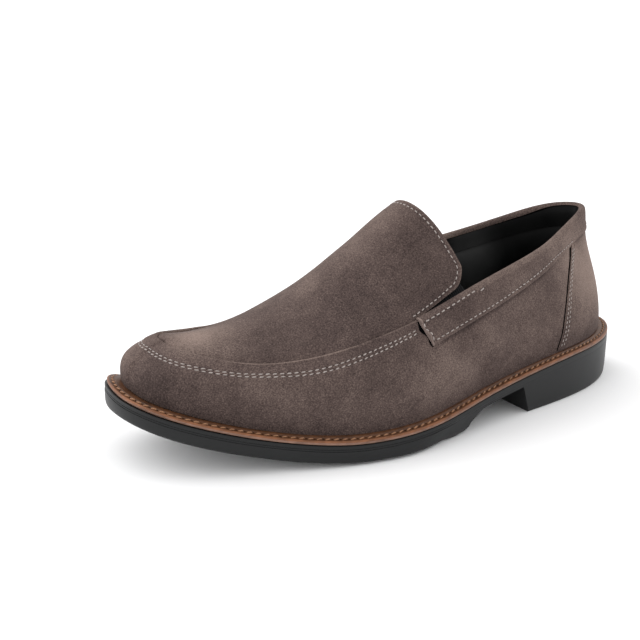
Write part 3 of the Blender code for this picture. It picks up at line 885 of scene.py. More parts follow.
FOOT_BELOW = -0.025
EDGE_ROUNDING = {1.7: 0.03, 1.1: 0.12, 0.6: 0.18, 0.25: 0.05, 0.0: -0.35}
EDGE_TURN_IN = (-0.9, -1.4, -1.9)
TOE_EDGE_RUB = 0.7
TOE_EDGE_RUB_ROWS = (2.4, 1.8)
APRON_RUB = ((0.0, 0.0), (1.6, 0.1), (2.2, 0.9), (3.8, 0.8), (4.2, 0.3), (5.0, 0.3))


def make_wall(colours):
    """Suede side wall with its creases, stitch grooves and raised, cut apron edge."""
    places = np.linspace(0.0, AROUND, COLUMNS, endpoint=False)
    shares, depths = wall_rows(places)
    rows = [wall(places, np.full(COLUMNS, FOOT_BELOW), relief(places, 0.0 * places, 60.0))]
    for share, depth in zip(shares, depths):
        rounding = EDGE_ROUNDING.get(depth[0], 0.0)
        rows.append(wall(places, share, relief(places, share, depth) + rounding))
    edge_lift = relief(places, shares[-1], depths[-1])
    for drop in EDGE_TURN_IN:
        rows.append(wall(places, shares[-1], edge_lift + drop))
    shape = Shape()
    shape.add_grid(np.array(rows), closed=True)
    made = shape.build("suede_wall", [taupe_suede(colours)])
    rows_rubbed, amounts = np.array(APRON_RUB).T
    rubbed_and_painted_light = np.zeros((len(rows), COLUMNS))
    row = row_at(places)
    rubbed_and_painted_light[-6:-3] = np.interp(row, rows_rubbed, amounts)
    inner = places > KNOTS[HEEL_ROW]
    rubbed_and_painted_light[-4:-2] += TOE_EDGE_RUB * inner * ease(row, *TOE_EDGE_RUB_ROWS)
    brush_nap(made, rubbed_and_painted_light.ravel())
    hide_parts("upper")


def plug_rows():
    """Rows of the plug and tongue and the half width kept at each."""
    front = np.linspace(0.0, GORE_ROW, PLUG_CELLS, endpoint=False)
    turn = np.linspace(0.0, 1.0, TONGUE_CELLS)
    share = 1.0 - (1.0 - turn) ** 1.8
    rows = np.concatenate([front, GORE_ROW + TONGUE_END * share])
    return rows, np.concatenate([np.ones(PLUG_CELLS), tongue_reach(share)])


# Lifts of the plug, and the rows and places across between which each comes in
PLUG_SEAM_SHARE = 0.16
PLUG_SEAM_DROP = 0.1
PLUG_PUFF = 0.7
PLUG_PUFF_FRONT = (0.0, 0.6)
PLUG_PUFF_BACK = (5.3, 4.8)
PLUG_WAVE = 0.25
TOE_PUFF = 0.9
TOE_PUFF_ROWS = (2.6, 0.8)
TOE_HOLLOW = 1.5
TOE_HOLLOW_ROW = 1.9
TOE_HOLLOW_REACH = 0.8
TOE_HOLLOW_ACROSS = (0.1, -0.5)
TOE_FLUSH = 0.5
TOE_FLUSH_FRONT = (0.0, 0.25)
TOE_FLUSH_BACK = (1.5, 0.7)
TOE_FLUSH_ACROSS = (-0.2, 0.3)


def plug_lift(row, across):
    """Puffed face of the plug, drawn in beside the apron seam, and the tongue's flare."""
    middle = np.abs(across)
    side = np.clip((1.0 - middle) / PLUG_SEAM_SHARE, 0.0, 1.0)
    wave = PLUG_WAVE * np.sin(row * 3.1 + 0.6) * np.cos(across * 2.2 + row)
    puff = PLUG_PUFF * ease(side) - PLUG_SEAM_DROP
    puff = puff * ease(row, *PLUG_PUFF_FRONT) * ease(row, *PLUG_PUFF_BACK)
    toe = TOE_PUFF * ease(row, *TOE_PUFF_ROWS)
    flare = TONGUE_FLARE * ease(row, *TONGUE_FLARE_ROWS) * ease(middle, *TONGUE_FLARE_ACROSS)
    hollow = TOE_HOLLOW * bell(row - TOE_HOLLOW_ROW, TOE_HOLLOW_REACH)
    hollow = hollow * ease(across, *TOE_HOLLOW_ACROSS)
    flush = TOE_FLUSH * ease(row, *TOE_FLUSH_FRONT) * ease(row, *TOE_FLUSH_BACK)
    flush = flush * ease(across, *TOE_FLUSH_ACROSS)
    return puff + wave * side + toe + flare + flush - hollow


FLANGE = 2.0
EDGE_RUB = 0.5
EDGE_RUB_WIDTH = 0.8


def make_plug(colours):
    """Apron plug and tongue in one piece, with its cut free edge and its black lining."""
    rows, reaches = plug_rows()
    ribs = np.sin(np.linspace(0.5 * np.pi, -0.5 * np.pi, RIB_CELLS + 1))
    row_grid, rib_grid = np.meshgrid(rows, ribs, indexing="ij")
    across = (rib_grid * reaches[:, None]).ravel()
    row = tongue_row(row_grid.ravel(), across)
    size = (len(rows), RIB_CELLS + 1, 3)
    face = plug(row, across, plug_lift(row, across)).reshape(size)
    inside = np.clip(across, -LIFT_REACH, LIFT_REACH)
    back = plug(row, inside, plug_lift(row, inside) - WALL).reshape(size)
    shape = Shape()
    shape.add_grid(face.transpose(1, 0, 2)[::-1], finish=0)
    shape.add_grid(back.transpose(1, 0, 2), finish=2)

    # The free edge runs down one side of the tongue, across its end and up the other side.
    first = PLUG_CELLS + 2
    last = len(rows) - 1
    down = [(k, 0) for k in range(first, last)]
    end = [(last, i) for i in range(RIB_CELLS + 1)]
    up = [(k, RIB_CELLS) for k in range(last - 1, first - 1, -1)]
    border = np.array(down + end + up)
    inward = np.column_stack([
        np.where(border[:, 0] == last, last - 1, border[:, 0]),
        np.clip(border[:, 1], 1, RIB_CELLS - 1),
    ])
    rim = face[border[:, 0], border[:, 1]]
    rim_back = back[border[:, 0], border[:, 1]]
    out = unit(rim - face[inward[:, 0], inward[:, 1]])
    turned = [rim]
    for share, push in ((0.12, 0.3), (0.5, 0.5), (0.88, 0.3)):
        turned.append(rim + (rim_back - rim) * share + push * out)
    turned.append(rim_back)
    shape.add_grid(np.array(turned), finish=1)

    # Beside the apron seam the plug runs on under the wall.
    for column_at, side in ((0, 1), (RIB_CELLS, -1)):
        border = face[:PLUG_CELLS + 1, column_at]
        _, _, out, leans = wall_frame(place_on(rows[:PLUG_CELLS + 1], side))
        lean = leans[:, 1:]
        under = border - FLANGE * (UP * np.cos(lean) - out * np.sin(lean))
        under = under - 0.2 * FLANGE * (out * np.cos(lean) + UP * np.sin(lean))
        strip = np.array([border, under])
        shape.add_grid(strip[::-1] if side > 0 else strip)
    finishes = [taupe_suede(colours), suede_cut_edge(colours), black_lining(colours)]
    made = shape.build("suede_plug", finishes, merge=0.001)
    points = points_of(made)
    away = np.min([np.linalg.norm(points - spot, axis=1) for spot in rim], axis=0)
    brush_nap(made, EDGE_RUB * bell(away, EDGE_RUB_WIDTH))


LINING_COLLAR_ROWS = (5.1, 5.7)
LINING_STRIP = 12.0
STRIP_PAD = 0.1
STRIP_PUFF = 0.6
STRIP_PUFF_DEPTHS = (0.4, 4.4)
LINING_DEPTHS = (
    0.4, 1.2, 3.0, 5.0, 7.0, 9.0, 11.0, LINING_STRIP, LINING_STRIP + 0.3,
    13.0, 14.0, 15.5, 17.0, 19.0, 21.0, 24.0, 27.0, 30.0, 34.0, 38.0, 44.0,
)
LINING_PADDING = (
    (13.0, 0.1), (15.0, 0.9), (20.0, 2.2), (26.0, 2.6), (34.0, 1.6), (44.0, 0.0), (90.0, 0.0),
)


def make_lining(colours):
    """Black lining inside the wall, with a strip sewn round the collar and soft padding."""
    places = np.linspace(0.0, AROUND, COLUMNS // 2, endpoint=False)
    row = row_at(places)
    collar = ease(row, *LINING_COLLAR_ROWS)
    depths, pads = np.array(LINING_PADDING).T
    padding = cubic_spline(depths, pads[:, None])
    rows = []
    for depth in LINING_DEPTHS:
        share = share_at(places, depth)
        if depth <= LINING_STRIP:
            pad = STRIP_PAD + STRIP_PUFF * ease(depth, *STRIP_PUFF_DEPTHS)
        else:
            pad = padding(np.full(len(places), depth))[:, 0]
        rows.append(wall(places, share, -WALL - 0.05 - collar * pad))
    for climb in np.linspace(1.0, 0.01, 6)[1:]:
        rows.append(wall(places, climb * share, -WALL - 0.1))
    shape = Shape()
    shape.add_grid(np.array(rows), closed=True)
    made = shape.build("lining", [black_lining(colours)], sharp=60.0)
    # painted sheen, a greyer patch standing for a reflection
    store_shade(made, "worn", patch_shade(points_of(made), LINING_PAINTED_SHEEN))


def overlay_columns(front, columns):
    """Rows and sides of an overlay's columns, from its outer front round the heel."""
    half = front + (HEEL_ROW - front) * np.linspace(0.0, 1.0, columns) ** 1.15
    rows = np.concatenate([half, half[-2::-1]])
    sides = np.concatenate([np.ones(columns), -np.ones(columns - 1)])
    return rows, sides


def from_front(places):
    """Distance of an overlay's columns from the nearer of its two front edges."""
    return np.minimum(np.abs(places - places[0]), np.abs(places - places[-1]))


def slanted(rows, front, slant):
    """Rows shifted back by a slant at the front, fading towards the heel."""
    return rows + slant * (1.0 - (rows - front) / (HEEL_ROW - front)) ** 2


def band_slant(depth, width):
    """How far the tab's front is cut back at a depth below the topline."""
    return BAND_SLANT * np.clip(depth / width, 0.0, 1.0)


# Section of the collar band from its lower edge over the topline to the inside: depth below the
# topline as a share of the width and in millimetres, lift off the wall, and share of the padding.
BandRow = namedtuple("BandRow", "share depth lift puff")
BAND_SECTION = (
    BandRow(1.0, 0.0, 0.1, 0.0),
    BandRow(1.0, 0.0, 0.75, 0.0),
    BandRow(1.0, -0.25, 1.15, 0.0),
    BandRow(1.0, -0.8, 1.35, 0.1),
    BandRow(0.86, 0.0, 1.4, 0.3),
    BandRow(0.79, 0.0, 1.25, 0.3),
    BandRow(0.72, 0.0, 1.4, 0.5),
    BandRow(0.6, 0.0, 1.5, 0.8),
    BandRow(0.45, 0.0, 1.5, 1.0),
    BandRow(0.32, 0.0, 1.5, 1.0),
    BandRow(0.2, 0.0, 1.45, 0.9),
    BandRow(0.1, 0.0, 1.35, 0.7),
    BandRow(0.0, 0.5, 1.15, 0.4),
    BandRow(0.0, -0.1, 0.75, 0.2),
    BandRow(0.0, -0.6, 0.1, 0.0),
    BandRow(0.0, -0.8, -0.5, 0.0),
    BandRow(0.0, -0.65, -1.2, 0.0),
    BandRow(0.0, -0.2, -1.75, 0.0),
    BandRow(0.0, 0.35, -2.1, 0.0),
    BandRow(0.0, 1.0, -2.4, 0.0),
    BandRow(0.0, 1.8, -2.55, 0.0),
    BandRow(0.0, 2.1, -2.45, 0.0),
    BandRow(0.0, 3.4, -2.3, 0.0),
)
BAND_SHADOW_ROWS = 2
BAND_TOP_ROWS = slice(11, 21)
# Paler top of the band's roll: partly rubbed wear, partly a painted highlight, fading towards the
# heel
BAND_TOP_RUB_AND_HIGHLIGHT = 0.4
BAND_TOP_RUB_AND_HIGHLIGHT_FADE = 0.8
BAND_TOP_RUB_AND_HIGHLIGHT_ROWS = (6.8, 7.8)
BAND_ROLL = 0.7
BAND_ROLL_ROWS = (7.4, 9.0)
BAND_TURN_IN = 0.85
BAND_TURN_IN_ROWS = (8.3, 9.2)
BAND_PUFF = 0.1
BAND_PUFF_ROWS = (5.8, 7.8)
BAND_HEEL_THIN = 0.1
BAND_HEEL_EDGE = 0.5
BAND_HEEL_EDGE_ROWS = (8.2, 9.0)
TAB_EDGE = ((0.0, 0.9), (0.3, 1.0))
TAB_EDGE_CELLS = 2
TAB_WAVE = 0.7
TAB_WAVE_REACH = 7.0


def tab_wave(depth, behind):
    """Uneven cut of a tab's front edge, fading behind it."""
    return TAB_WAVE * np.sin(0.75 * depth + 0.5) * bell(behind, TAB_WAVE_REACH)


def band_lift(part, rows):
    """Lift of the band's section at each row: thick at the tabs, padded round the heel."""
    back = ease(rows, *BAND_PUFF_ROWS)
    thin = BAND_HEEL_THIN * back * (part.lift > 0.0)
    low = (part.share > 0.7) * (part.lift > 0.1)
    edge = BAND_HEEL_EDGE * low * ease(rows, *BAND_HEEL_EDGE_ROWS)
    return part.lift * (1.0 - thin) + part.puff * BAND_PUFF * back + edge


def make_collar_band(colours):
    """Suede band round the collar: a tab at each gore, padded and rolled round the heel."""
    rows, sides = overlay_columns(BAND_FRONT, 200)
    flat_places = place_on(rows, sides)
    width = band_width(flat_places)
    behind = from_front(flat_places)
    tab_steps, tab_lifts = zip(*TAB_EDGE)
    keep = np.interp(behind, tab_steps, tab_lifts)
    roll = BAND_ROLL * ease(rows, *BAND_ROLL_ROWS)
    turn_in = 1.0 - BAND_TURN_IN * ease(rows, *BAND_TURN_IN_ROWS)
    loops = []
    for part in BAND_SECTION:
        depth = part.share * width + part.depth * np.where(part.lift < -2.0, turn_in, 1.0)
        if part.share == 0.0:
            depth = depth - roll * (1.0 - max(part.depth, 0.0) / BAND_SECTION[-1].depth)
        places = place_on(slanted(rows, BAND_FRONT, band_slant(depth, width)), sides)
        places = places + sides * tab_wave(depth, behind)
        lift = band_lift(part, rows)
        lift = np.where(lift > 0.1, 0.1 + (lift - 0.1) * keep, lift)
        loops.append(draped(places, share_at(places, depth), lift))
    finishes = np.zeros((len(loops) - 1, len(rows) - 1), int)
    finishes[:, :TAB_EDGE_CELLS] = 1
    finishes[:, -TAB_EDGE_CELLS:] = 1
    # painted shadow on the band's last rows, where it turns in above the lining
    finishes[-BAND_SHADOW_ROWS:] = 2
    shape = Shape()
    grid = np.array(loops)
    shape.add_grid(grid, finishes)
    for end in (grid[:, 0], grid[::-1, -1]):
        first = shape.add_points(end)
        shape.add_faces([list(range(first, first + len(end)))[::-1]], finish=1)
    materials = [taupe_suede(colours), suede_cut_edge(colours), dark_gap(colours)]
    made = shape.build("collar_band", materials)
    rubbed_and_painted_light = np.zeros((len(loops), len(rows)))
    faded = 1.0 - BAND_TOP_RUB_AND_HIGHLIGHT_FADE * ease(rows, *BAND_TOP_RUB_AND_HIGHLIGHT_ROWS)
    # rubbed wear and painted highlight along the topline
    rubbed_and_painted_light[BAND_TOP_ROWS] = BAND_TOP_RUB_AND_HIGHLIGHT * faded
    brush_nap(made, np.concatenate([rubbed_and_painted_light.ravel(), np.zeros(2 * len(loops))]))
    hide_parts("collar_band")


# Painted shadow below the collar band's lower edge, on a thin suede strip that runs on over the
# counter
SHADOW_STRIP_STEPS = (-0.3, 0.3, 0.9, 1.6, 2.4, 3.2)
SHADOW_STRIP_LIFT = 0.12
SHADOW_STRIP_START = 0.03
SHADOW_STRIP_SHADE = 0.6
SHADOW_STRIP_SHADE_STEP = 0.6
SHADOW_STRIP_SHADE_REACH = 1.3
SHADOW_STRIP_FADE = 0.8
SHADOW_STRIP_FADE_ROWS = (6.9, 7.7)
SHADOW_STRIP_ON_COUNTER = 0.75
SHADOW_STRIP_ON_COUNTER_ROWS = (9.4, 8.6)
SHADOW_STRIP_OFF_COUNTER = 0.1


def make_band_fold(colours):
    """Suede strip laid just over the wall below the band's lower edge, painted dark as the band's
    shadow.
    """
    rows = np.linspace(BAND_FRONT + BAND_SLANT + SHADOW_STRIP_START, HEEL_ROW, 240)
    counter_top = COUNTER_FRONT + COUNTER_SLANT
    on_counter = ease(rows, counter_top, counter_top + 0.1)
    fade = ease(rows, rows[0], rows[0] + 0.15) * (1.0 - SHADOW_STRIP_FADE * ease(rows, *SHADOW_STRIP_FADE_ROWS))
    fade = fade + SHADOW_STRIP_ON_COUNTER * on_counter * ease(rows, *SHADOW_STRIP_ON_COUNTER_ROWS)
    shape = Shape()
    painted_shades = []
    for side in (1, -1):
        places = place_on(rows, side)
        lines = []
        for step in SHADOW_STRIP_STEPS[::-side]:
            lift = SHADOW_STRIP_LIFT - 0.02 * max(step, 0.0)
            lift = lift + (COUNTER_LIFT + SHADOW_STRIP_OFF_COUNTER) * on_counter
            lines.append(draped(places, share_at(places, band_width(places) + step), lift))
            # painted shadow, darkest just below the band's edge
            painted_shades.append(-SHADOW_STRIP_SHADE * bell(step - SHADOW_STRIP_SHADE_STEP, SHADOW_STRIP_SHADE_REACH) * fade)
        shape.add_grid(np.array(lines))
    made = shape.build("band_fold", [taupe_suede(colours)])
    brush_nap(made, np.concatenate(painted_shades))


COUNTER_LIFT = 0.7
COUNTER_EDGE = ((0.0, 0.3), (0.3, 0.85), (0.8, 1.0))
COUNTER_LAP = 1.2
COUNTER_KICK = 4.4
COUNTER_KICK_FOOT = 0.7
COUNTER_KICK_FOOT_SHARE = 0.12
COUNTER_KICK_FALL = 0.75
COUNTER_KICK_REACH = 12.0


def counter_kick(share):
    """How far the counter's front edge springs back above its foot."""
    foot = COUNTER_KICK_FOOT * bell(share, COUNTER_KICK_FOOT_SHARE)
    return COUNTER_KICK * (1.0 - foot) * (1.0 - COUNTER_KICK_FALL * share)


def counter_front(side, share):
    """Places of the counter's front edge at shares of its height."""
    rows = COUNTER_FRONT + COUNTER_SLANT * share ** COUNTER_BOW
    return place_on(rows, np.full(len(share), side)) + side * counter_kick(share)


def counter_height(places, share):
    """Wall share at a share of the counter's height; its top lies under the band."""
    return share * share_at(places, band_width(places) - COUNTER_LAP)


def make_heel_counter(colours):
    """Suede counter round the heel, from the welt up to the band."""
    rows, sides = overlay_columns(COUNTER_FRONT, 110)
    behind = from_front(place_on(rows, sides))
    steps, lifts = zip(*COUNTER_EDGE)
    keep = np.interp(behind, steps, lifts)
    near = bell(behind, COUNTER_KICK_REACH)
    shares = np.linspace(0.0, 1.0, 40)
    loops = []
    for share in shares:
        slant = COUNTER_SLANT * share ** COUNTER_BOW
        places = place_on(slanted(rows, COUNTER_FRONT, slant), sides)
        places = places + sides * near * counter_kick(share)
        soft = 0.15 * np.sin(places / 9.0) * np.sin(6.0 * share)
        lift = (COUNTER_LIFT + soft) * keep
        loops.append(draped(places, counter_height(places, share), lift))
    grid = np.array(loops)
    shape = Shape()
    shape.add_grid(grid)
    for end, side in ((0, 1), (-1, -1)):
        places = counter_front(side, shares)
        strip = np.stack([grid[:, end], draped(places, counter_height(places, shares), -0.1)])
        shape.add_grid(strip[::-1] if side > 0 else strip, finish=1)
    made = shape.build("heel_counter", [taupe_suede(colours), suede_cut_edge(colours)])
    brush_nap(made)
    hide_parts("heel_counter")


# Strips of painted shadow in the slits before the tabs and along the counter's front edges
SLIT_WIDTH = 1.7
COUNTER_SHADOW_FOOT = 1.0
COUNTER_SHADOW_TOP = 2.4
SLIT_LIFT = 0.1
SLIT_LAP = 0.5


def tab_front(side, depth):
    """Places of a tab's front edge at depths below the topline."""
    rows = BAND_FRONT + band_slant(depth, np.full(len(depth), BAND_FRONT_WIDTH))
    return place_on(rows, np.full(len(depth), side)) + side * tab_wave(depth, 0.0)


def slit_grid(side, edge, width, share_of):
    """Strip of painted shadow along an overlay's front edge, from under the overlay to the width
    before it.
    """
    lines = []
    for reach in np.linspace(0.0, 1.0, 4):
        places = edge + side * SLIT_LAP - side * reach * (SLIT_LAP + width)
        lines.append(draped(places, share_of(places), SLIT_LIFT))
    return np.array(lines[::side])


def make_slits(colours):
    """Painted shadow in the slits in front of the tabs and below the counter's raised front edges.
    """
    shape = Shape()
    depth = np.linspace(0.2, BAND_FRONT_WIDTH + 0.4, 32)
    tab_width = SLIT_WIDTH * np.sin(np.linspace(1.0, 2.9, 32))
    share = np.linspace(0.0, 1.0, 50)
    counter_width = COUNTER_SHADOW_FOOT + COUNTER_SHADOW_TOP * share ** 3
    for side in (1, -1):
        shape.add_grid(slit_grid(
            side, tab_front(side, depth), tab_width, lambda places: share_at(places, depth)
        ))
        shape.add_grid(slit_grid(
            side, counter_front(side, share), counter_width,
            lambda places: counter_height(places, share),
        ))
    made = shape.build("slits", [dark_gap(colours)])


def make_gore(name, side, colours):
    """Ribbed elastic behind the slit between the tongue and the collar."""
    rows = GORE_ROW + np.linspace(0.2, 0.97, 40)
    places = place_on(rows, side)
    guides = [wall(places, share_at(places, lap), -WALL - clear) for lap, clear in GORE_ON_WALL]
    for across, clear in GORE_ON_TONGUE:
        guides.append(plug(rows, np.full(len(rows), side * across), -WALL - clear))
    guides = np.array(guides)
    shares = np.linspace(0.0, 1.0, len(guides))
    curve = cubic_spline(shares, guides.reshape(len(guides), -1))
    fine = curve(np.linspace(0.0, 1.0, 30)).reshape(30, len(rows), 3)
    shape = Shape()
    shape.add_grid(fine if side > 0 else fine[::-1])
    made = shape.build(name, [black_elastic(colours)])
    thick = made.modifiers.new("Thickness", "SOLIDIFY")
    thick.thickness = 0.8 * MM
    thick.offset = -1.0
    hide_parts(name)


# Section of the welt: inset from its outline, or share of the way to the upper's foot, and
# height above the sole.
WeltRow = namedtuple("WeltRow", "inset share height finish")
WELT_SECTION = (
    WeltRow(1.2, 0.0, 0.0, 0),
    WeltRow(0.3, 0.0, 0.1, 0),
    WeltRow(0.0, 0.0, 0.45, 0),
    WeltRow(0.0, 0.0, 1.25, 0),
    WeltRow(0.05, 0.0, 1.7, 1),
    WeltRow(0.2, 0.0, 2.0, 1),
    WeltRow(0.6, 0.0, 2.2, 1),
    WeltRow(1.0, 0.0, 2.2, 1),
    WeltRow(1.4, 0.0, 2.05, 2),
    WeltRow(2.4, 0.0, 2.15, 2),
    WeltRow(3.2, 0.0, 2.4, 2),
    WeltRow(3.5, 0.0, 2.85, 2),
    WeltRow(0.0, 0.85, 3.1, 2),
    WeltRow(0.0, 1.0, 3.2, 2),
    WeltRow(0.0, 1.3, 3.2, 2),
)


def make_welt(colours):
    """Brown welt all round: pale trimmed side, dark waxed top with a stitch channel."""
    places = np.linspace(0.0, AROUND, COLUMNS, endpoint=False)
    margin = wall_sizes(places)[:, 0]
    rows = []
    for part in WELT_SECTION:
        inset = part.inset + part.share * margin
        ring = inset_outline(places, inset)
        rows.append(in_space(ring, seat_on(ring) + GAP + part.height))
    finishes = np.array([part.finish for part in WELT_SECTION[1:]])
    shape = Shape()
    shape.add_grid(np.array(rows), finishes[:, None], closed=True)
    tones = ("welt_side", "welt_rim", "welt_top")
    made = shape.build("welt", [welt_leather(tone, getattr(colours, tone)) for tone in tones])
    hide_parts("welt")


# Side of the sole from its top edge down, as in the solid but with softer corners
SideRow = namedtuple("SideRow", "drop rise inset groove taper")
SOLE_SIDE = (
    SideRow(0.0, None, 0.6, 0.0, 0.0),
    SideRow(0.15, None, 0.3, 0.0, 0.0),
    SideRow(0.5, None, 0.05, 0.0, 0.0),
    SideRow(0.9, None, 0.0, 0.0, 0.0),
    SideRow(1.6, None, 0.0, 0.0, 0.0),
    SideRow(1.7, None, 0.0, 0.18, 0.0),
    SideRow(1.95, None, 0.0, 0.18, 0.0),
    SideRow(2.05, None, 0.0, 0.0, 0.0),
    SideRow(2.6, None, 0.0, 0.0, 0.05),
    SideRow(2.7, None, 0.0, 0.18, 0.05),
    SideRow(2.95, None, 0.0, 0.18, 0.1),
    SideRow(3.05, None, -0.05, 0.0, 0.1),
    SideRow(3.6, None, -0.15, 0.0, 0.15),
    SideRow(None, 4.2, -0.1, 0.0, 0.6),
    SideRow(None, 2.0, 0.0, 0.0, 0.8),
    SideRow(None, 1.0, 0.15, 0.0, 0.95),
    SideRow(None, 0.35, 0.4, 0.0, 1.0),
    SideRow(None, 0.0, 0.9, 0.0, 1.0),
)
TOE_LIP = 1.2
TOE_LIP_LOW = 0.2
TOE_LIP_STATIONS = (240.0, 290.0)
BALL_LIFT = 1.3
BALL_LIFT_STARTS = (STEP_FOOT, 157.0)
BALL_LIFT_ENDS = (245.0, 205.0)
TREAD_INSET = 8.0


def cap_strip(first, count, upward):
    """Faces across a closed loop, from the toe point to the heel point."""
    faces = []
    for k in range(count // 2):
        outer, outer_next = first + k, first + k + 1
        inner, inner_next = first + (count - k) % count, first + count - k - 1
        corners = tuple(dict.fromkeys((outer, outer_next, inner_next, inner)))
        faces.append(corners if upward else corners[::-1])
    return faces


def waist_cutter():
    """Prism that clears the waist between the heel breast and the forepart's step."""
    waist = np.linspace(HEEL_BREAST_TOP, WAIST_FRONT, 14)
    profile = [(HEEL_BREAST_FOOT, 0.0), *zip(waist, seat_height(waist) - WAIST_SOLE)]
    profile += [*WAIST_STEP, (WAIST_STEP[-1][0], -FORE_SOLE), (HEEL_BREAST_FOOT, -FORE_SOLE)]
    shape = Shape()
    count = len(profile)
    ends = [[(x, AXIS_Y - s, z) for s, z in profile] for x in (-LENGTH / 3.0, LENGTH / 3.0)]
    shape.add_points(ends)
    shape.add_faces([list(range(count))[::-1], list(range(count, 2 * count))])
    after = (np.arange(count) + 1) % count
    here = np.arange(count)
    sides = np.column_stack([here, after, after + count, here + count])
    shape.add_faces(sides.tolist())
    return shape.build("waist_cutter", [])


def loop_places(columns):
    """Places round the shoe with equal counts on its two sides, from toe to heel."""
    rows = np.linspace(0.0, HEEL_ROW, columns // 2 + 1)
    return np.concatenate([place_on(rows, 1), place_on(rows[-2:0:-1], -1)])


def make_outsole(colours):
    """Moulded rubber sole: grooved forepart with toe spring, thin waist and block heel."""
    places = loop_places(COLUMNS)
    ring_station = outline(places)[:, 1]
    heel_share = ease(ring_station, STEP_FOOT, HEEL_BREAST_FOOT)
    fore_share = ease(ring_station, WAIST_TAPER_END, STEP_FOOT)
    side_taper = HEEL_TAPER * heel_share + WAIST_TAPER * (1.0 - heel_share) * fore_share
    groove = ease(ring_station, *GROOVE_STATIONS)
    toe = ease(ring_station, *TOE_LIP_STATIONS)
    ball = ease(ring_station, *BALL_LIFT_STARTS) * ease(ring_station, *BALL_LIFT_ENDS)
    edge_lift = BALL_LIFT * ball
    rings = []
    for row in SOLE_SIDE:
        inset = row.inset + row.groove * groove + row.taper * side_taper
        ring = inset_outline(places, inset - toe * (TOE_LIP + TOE_LIP_LOW * row.taper))
        top, tread = seat_on(ring), tread_height(ring[:, 1])
        low = tread + edge_lift
        rings.append(in_space(ring, top - row.drop if row.rise is None else low + row.rise))
    for share in (0.2, 0.5, 1.0):
        ring = inset_outline(places, 0.9 + side_taper + share * TREAD_INSET)
        low = tread_height(ring[:, 1]) + edge_lift * (1.0 - share) ** 2
        rings.append(in_space(ring, low))
    shape = Shape()
    count = len(places)
    shape.add_grid(np.array(rings)[::-1], closed=True)
    last = (len(rings) - 1) * count
    shape.add_faces(cap_strip(last, count, upward=True))
    shape.add_faces(cap_strip(0, count, upward=False))
    made = shape.build("outsole_rubber", [black_rubber(colours)])
    cutter = waist_cutter()
    cut = made.modifiers.new("Waist", "BOOLEAN")
    cut.operation = "DIFFERENCE"
    cut.object = cutter
    graph = bpy.context.evaluated_depsgraph_get()
    mesh = bpy.data.meshes.new_from_object(made.evaluated_get(graph))
    made.modifiers.clear()
    made.data = mesh
    bpy.data.objects.remove(cutter, do_unlink=True)
    mesh.shade_smooth()
    mesh.set_sharp_from_angle(angle=np.radians(35.0))
    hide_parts("outsole")


def make_insole(colours):
    """Black sock on the insole board, softly dished and rounded at its rim."""
    places = loop_places(240)
    rim = wall_sizes(places)[:, 0] + WALL + 0.5
    rows = []
    for inset, rise in ((0.0, -5.5), (0.0, -0.8), (0.3, -0.25), (0.9, 0.0)):
        ring = inset_outline(places, rim + inset)
        height = seat_on(ring) + GAP + INSOLE_THICK + rise
        rows.append(in_space(ring, height))
    spine = in_space(inset_outline(places, rim + 0.9), rows[-1][:, 2])
    middle = 0.5 * (spine + np.concatenate([spine[:1], spine[:0:-1]]))
    for share in (0.85, 0.65, 0.45, 0.25, 0.1):
        row = middle + (spine - middle) * share
        row[:, 2] -= 0.5 * (1.0 - share)
        rows.append(row)
    shape = Shape()
    shape.add_grid(np.array(rows), closed=True)
    last = (len(rows) - 1) * len(places)
    shape.add_faces(cap_strip(last, len(places), upward=True))
    made = shape.build("insole_sock", [black_lining(colours)])
    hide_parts("insole")


# One stitch along its run: place along it, thickness, and rise above the leather
StitchRing = namedtuple("StitchRing", "along size rise")
STITCH_RINGS = (
    StitchRing(-0.5, 0.25, -0.55),
    StitchRing(-0.4, 0.8, -0.1),
    StitchRing(-0.18, 1.0, 0.25),
    StitchRing(0.18, 1.0, 0.25),
    StitchRing(0.4, 0.8, -0.1),
    StitchRing(0.5, 0.25, -0.55),
)
STITCH_SIDES = 6
# Needle holes are discs of painted shade, set just above the leather
HOLE_SIZE = 0.36
HOLE_RISE = 0.05
APRON_TOE_PITCH = 0.13
APRON_TOE_PITCH_ROWS = (4.4, 2.8)
TAB_FRONT_ROW = 1.3


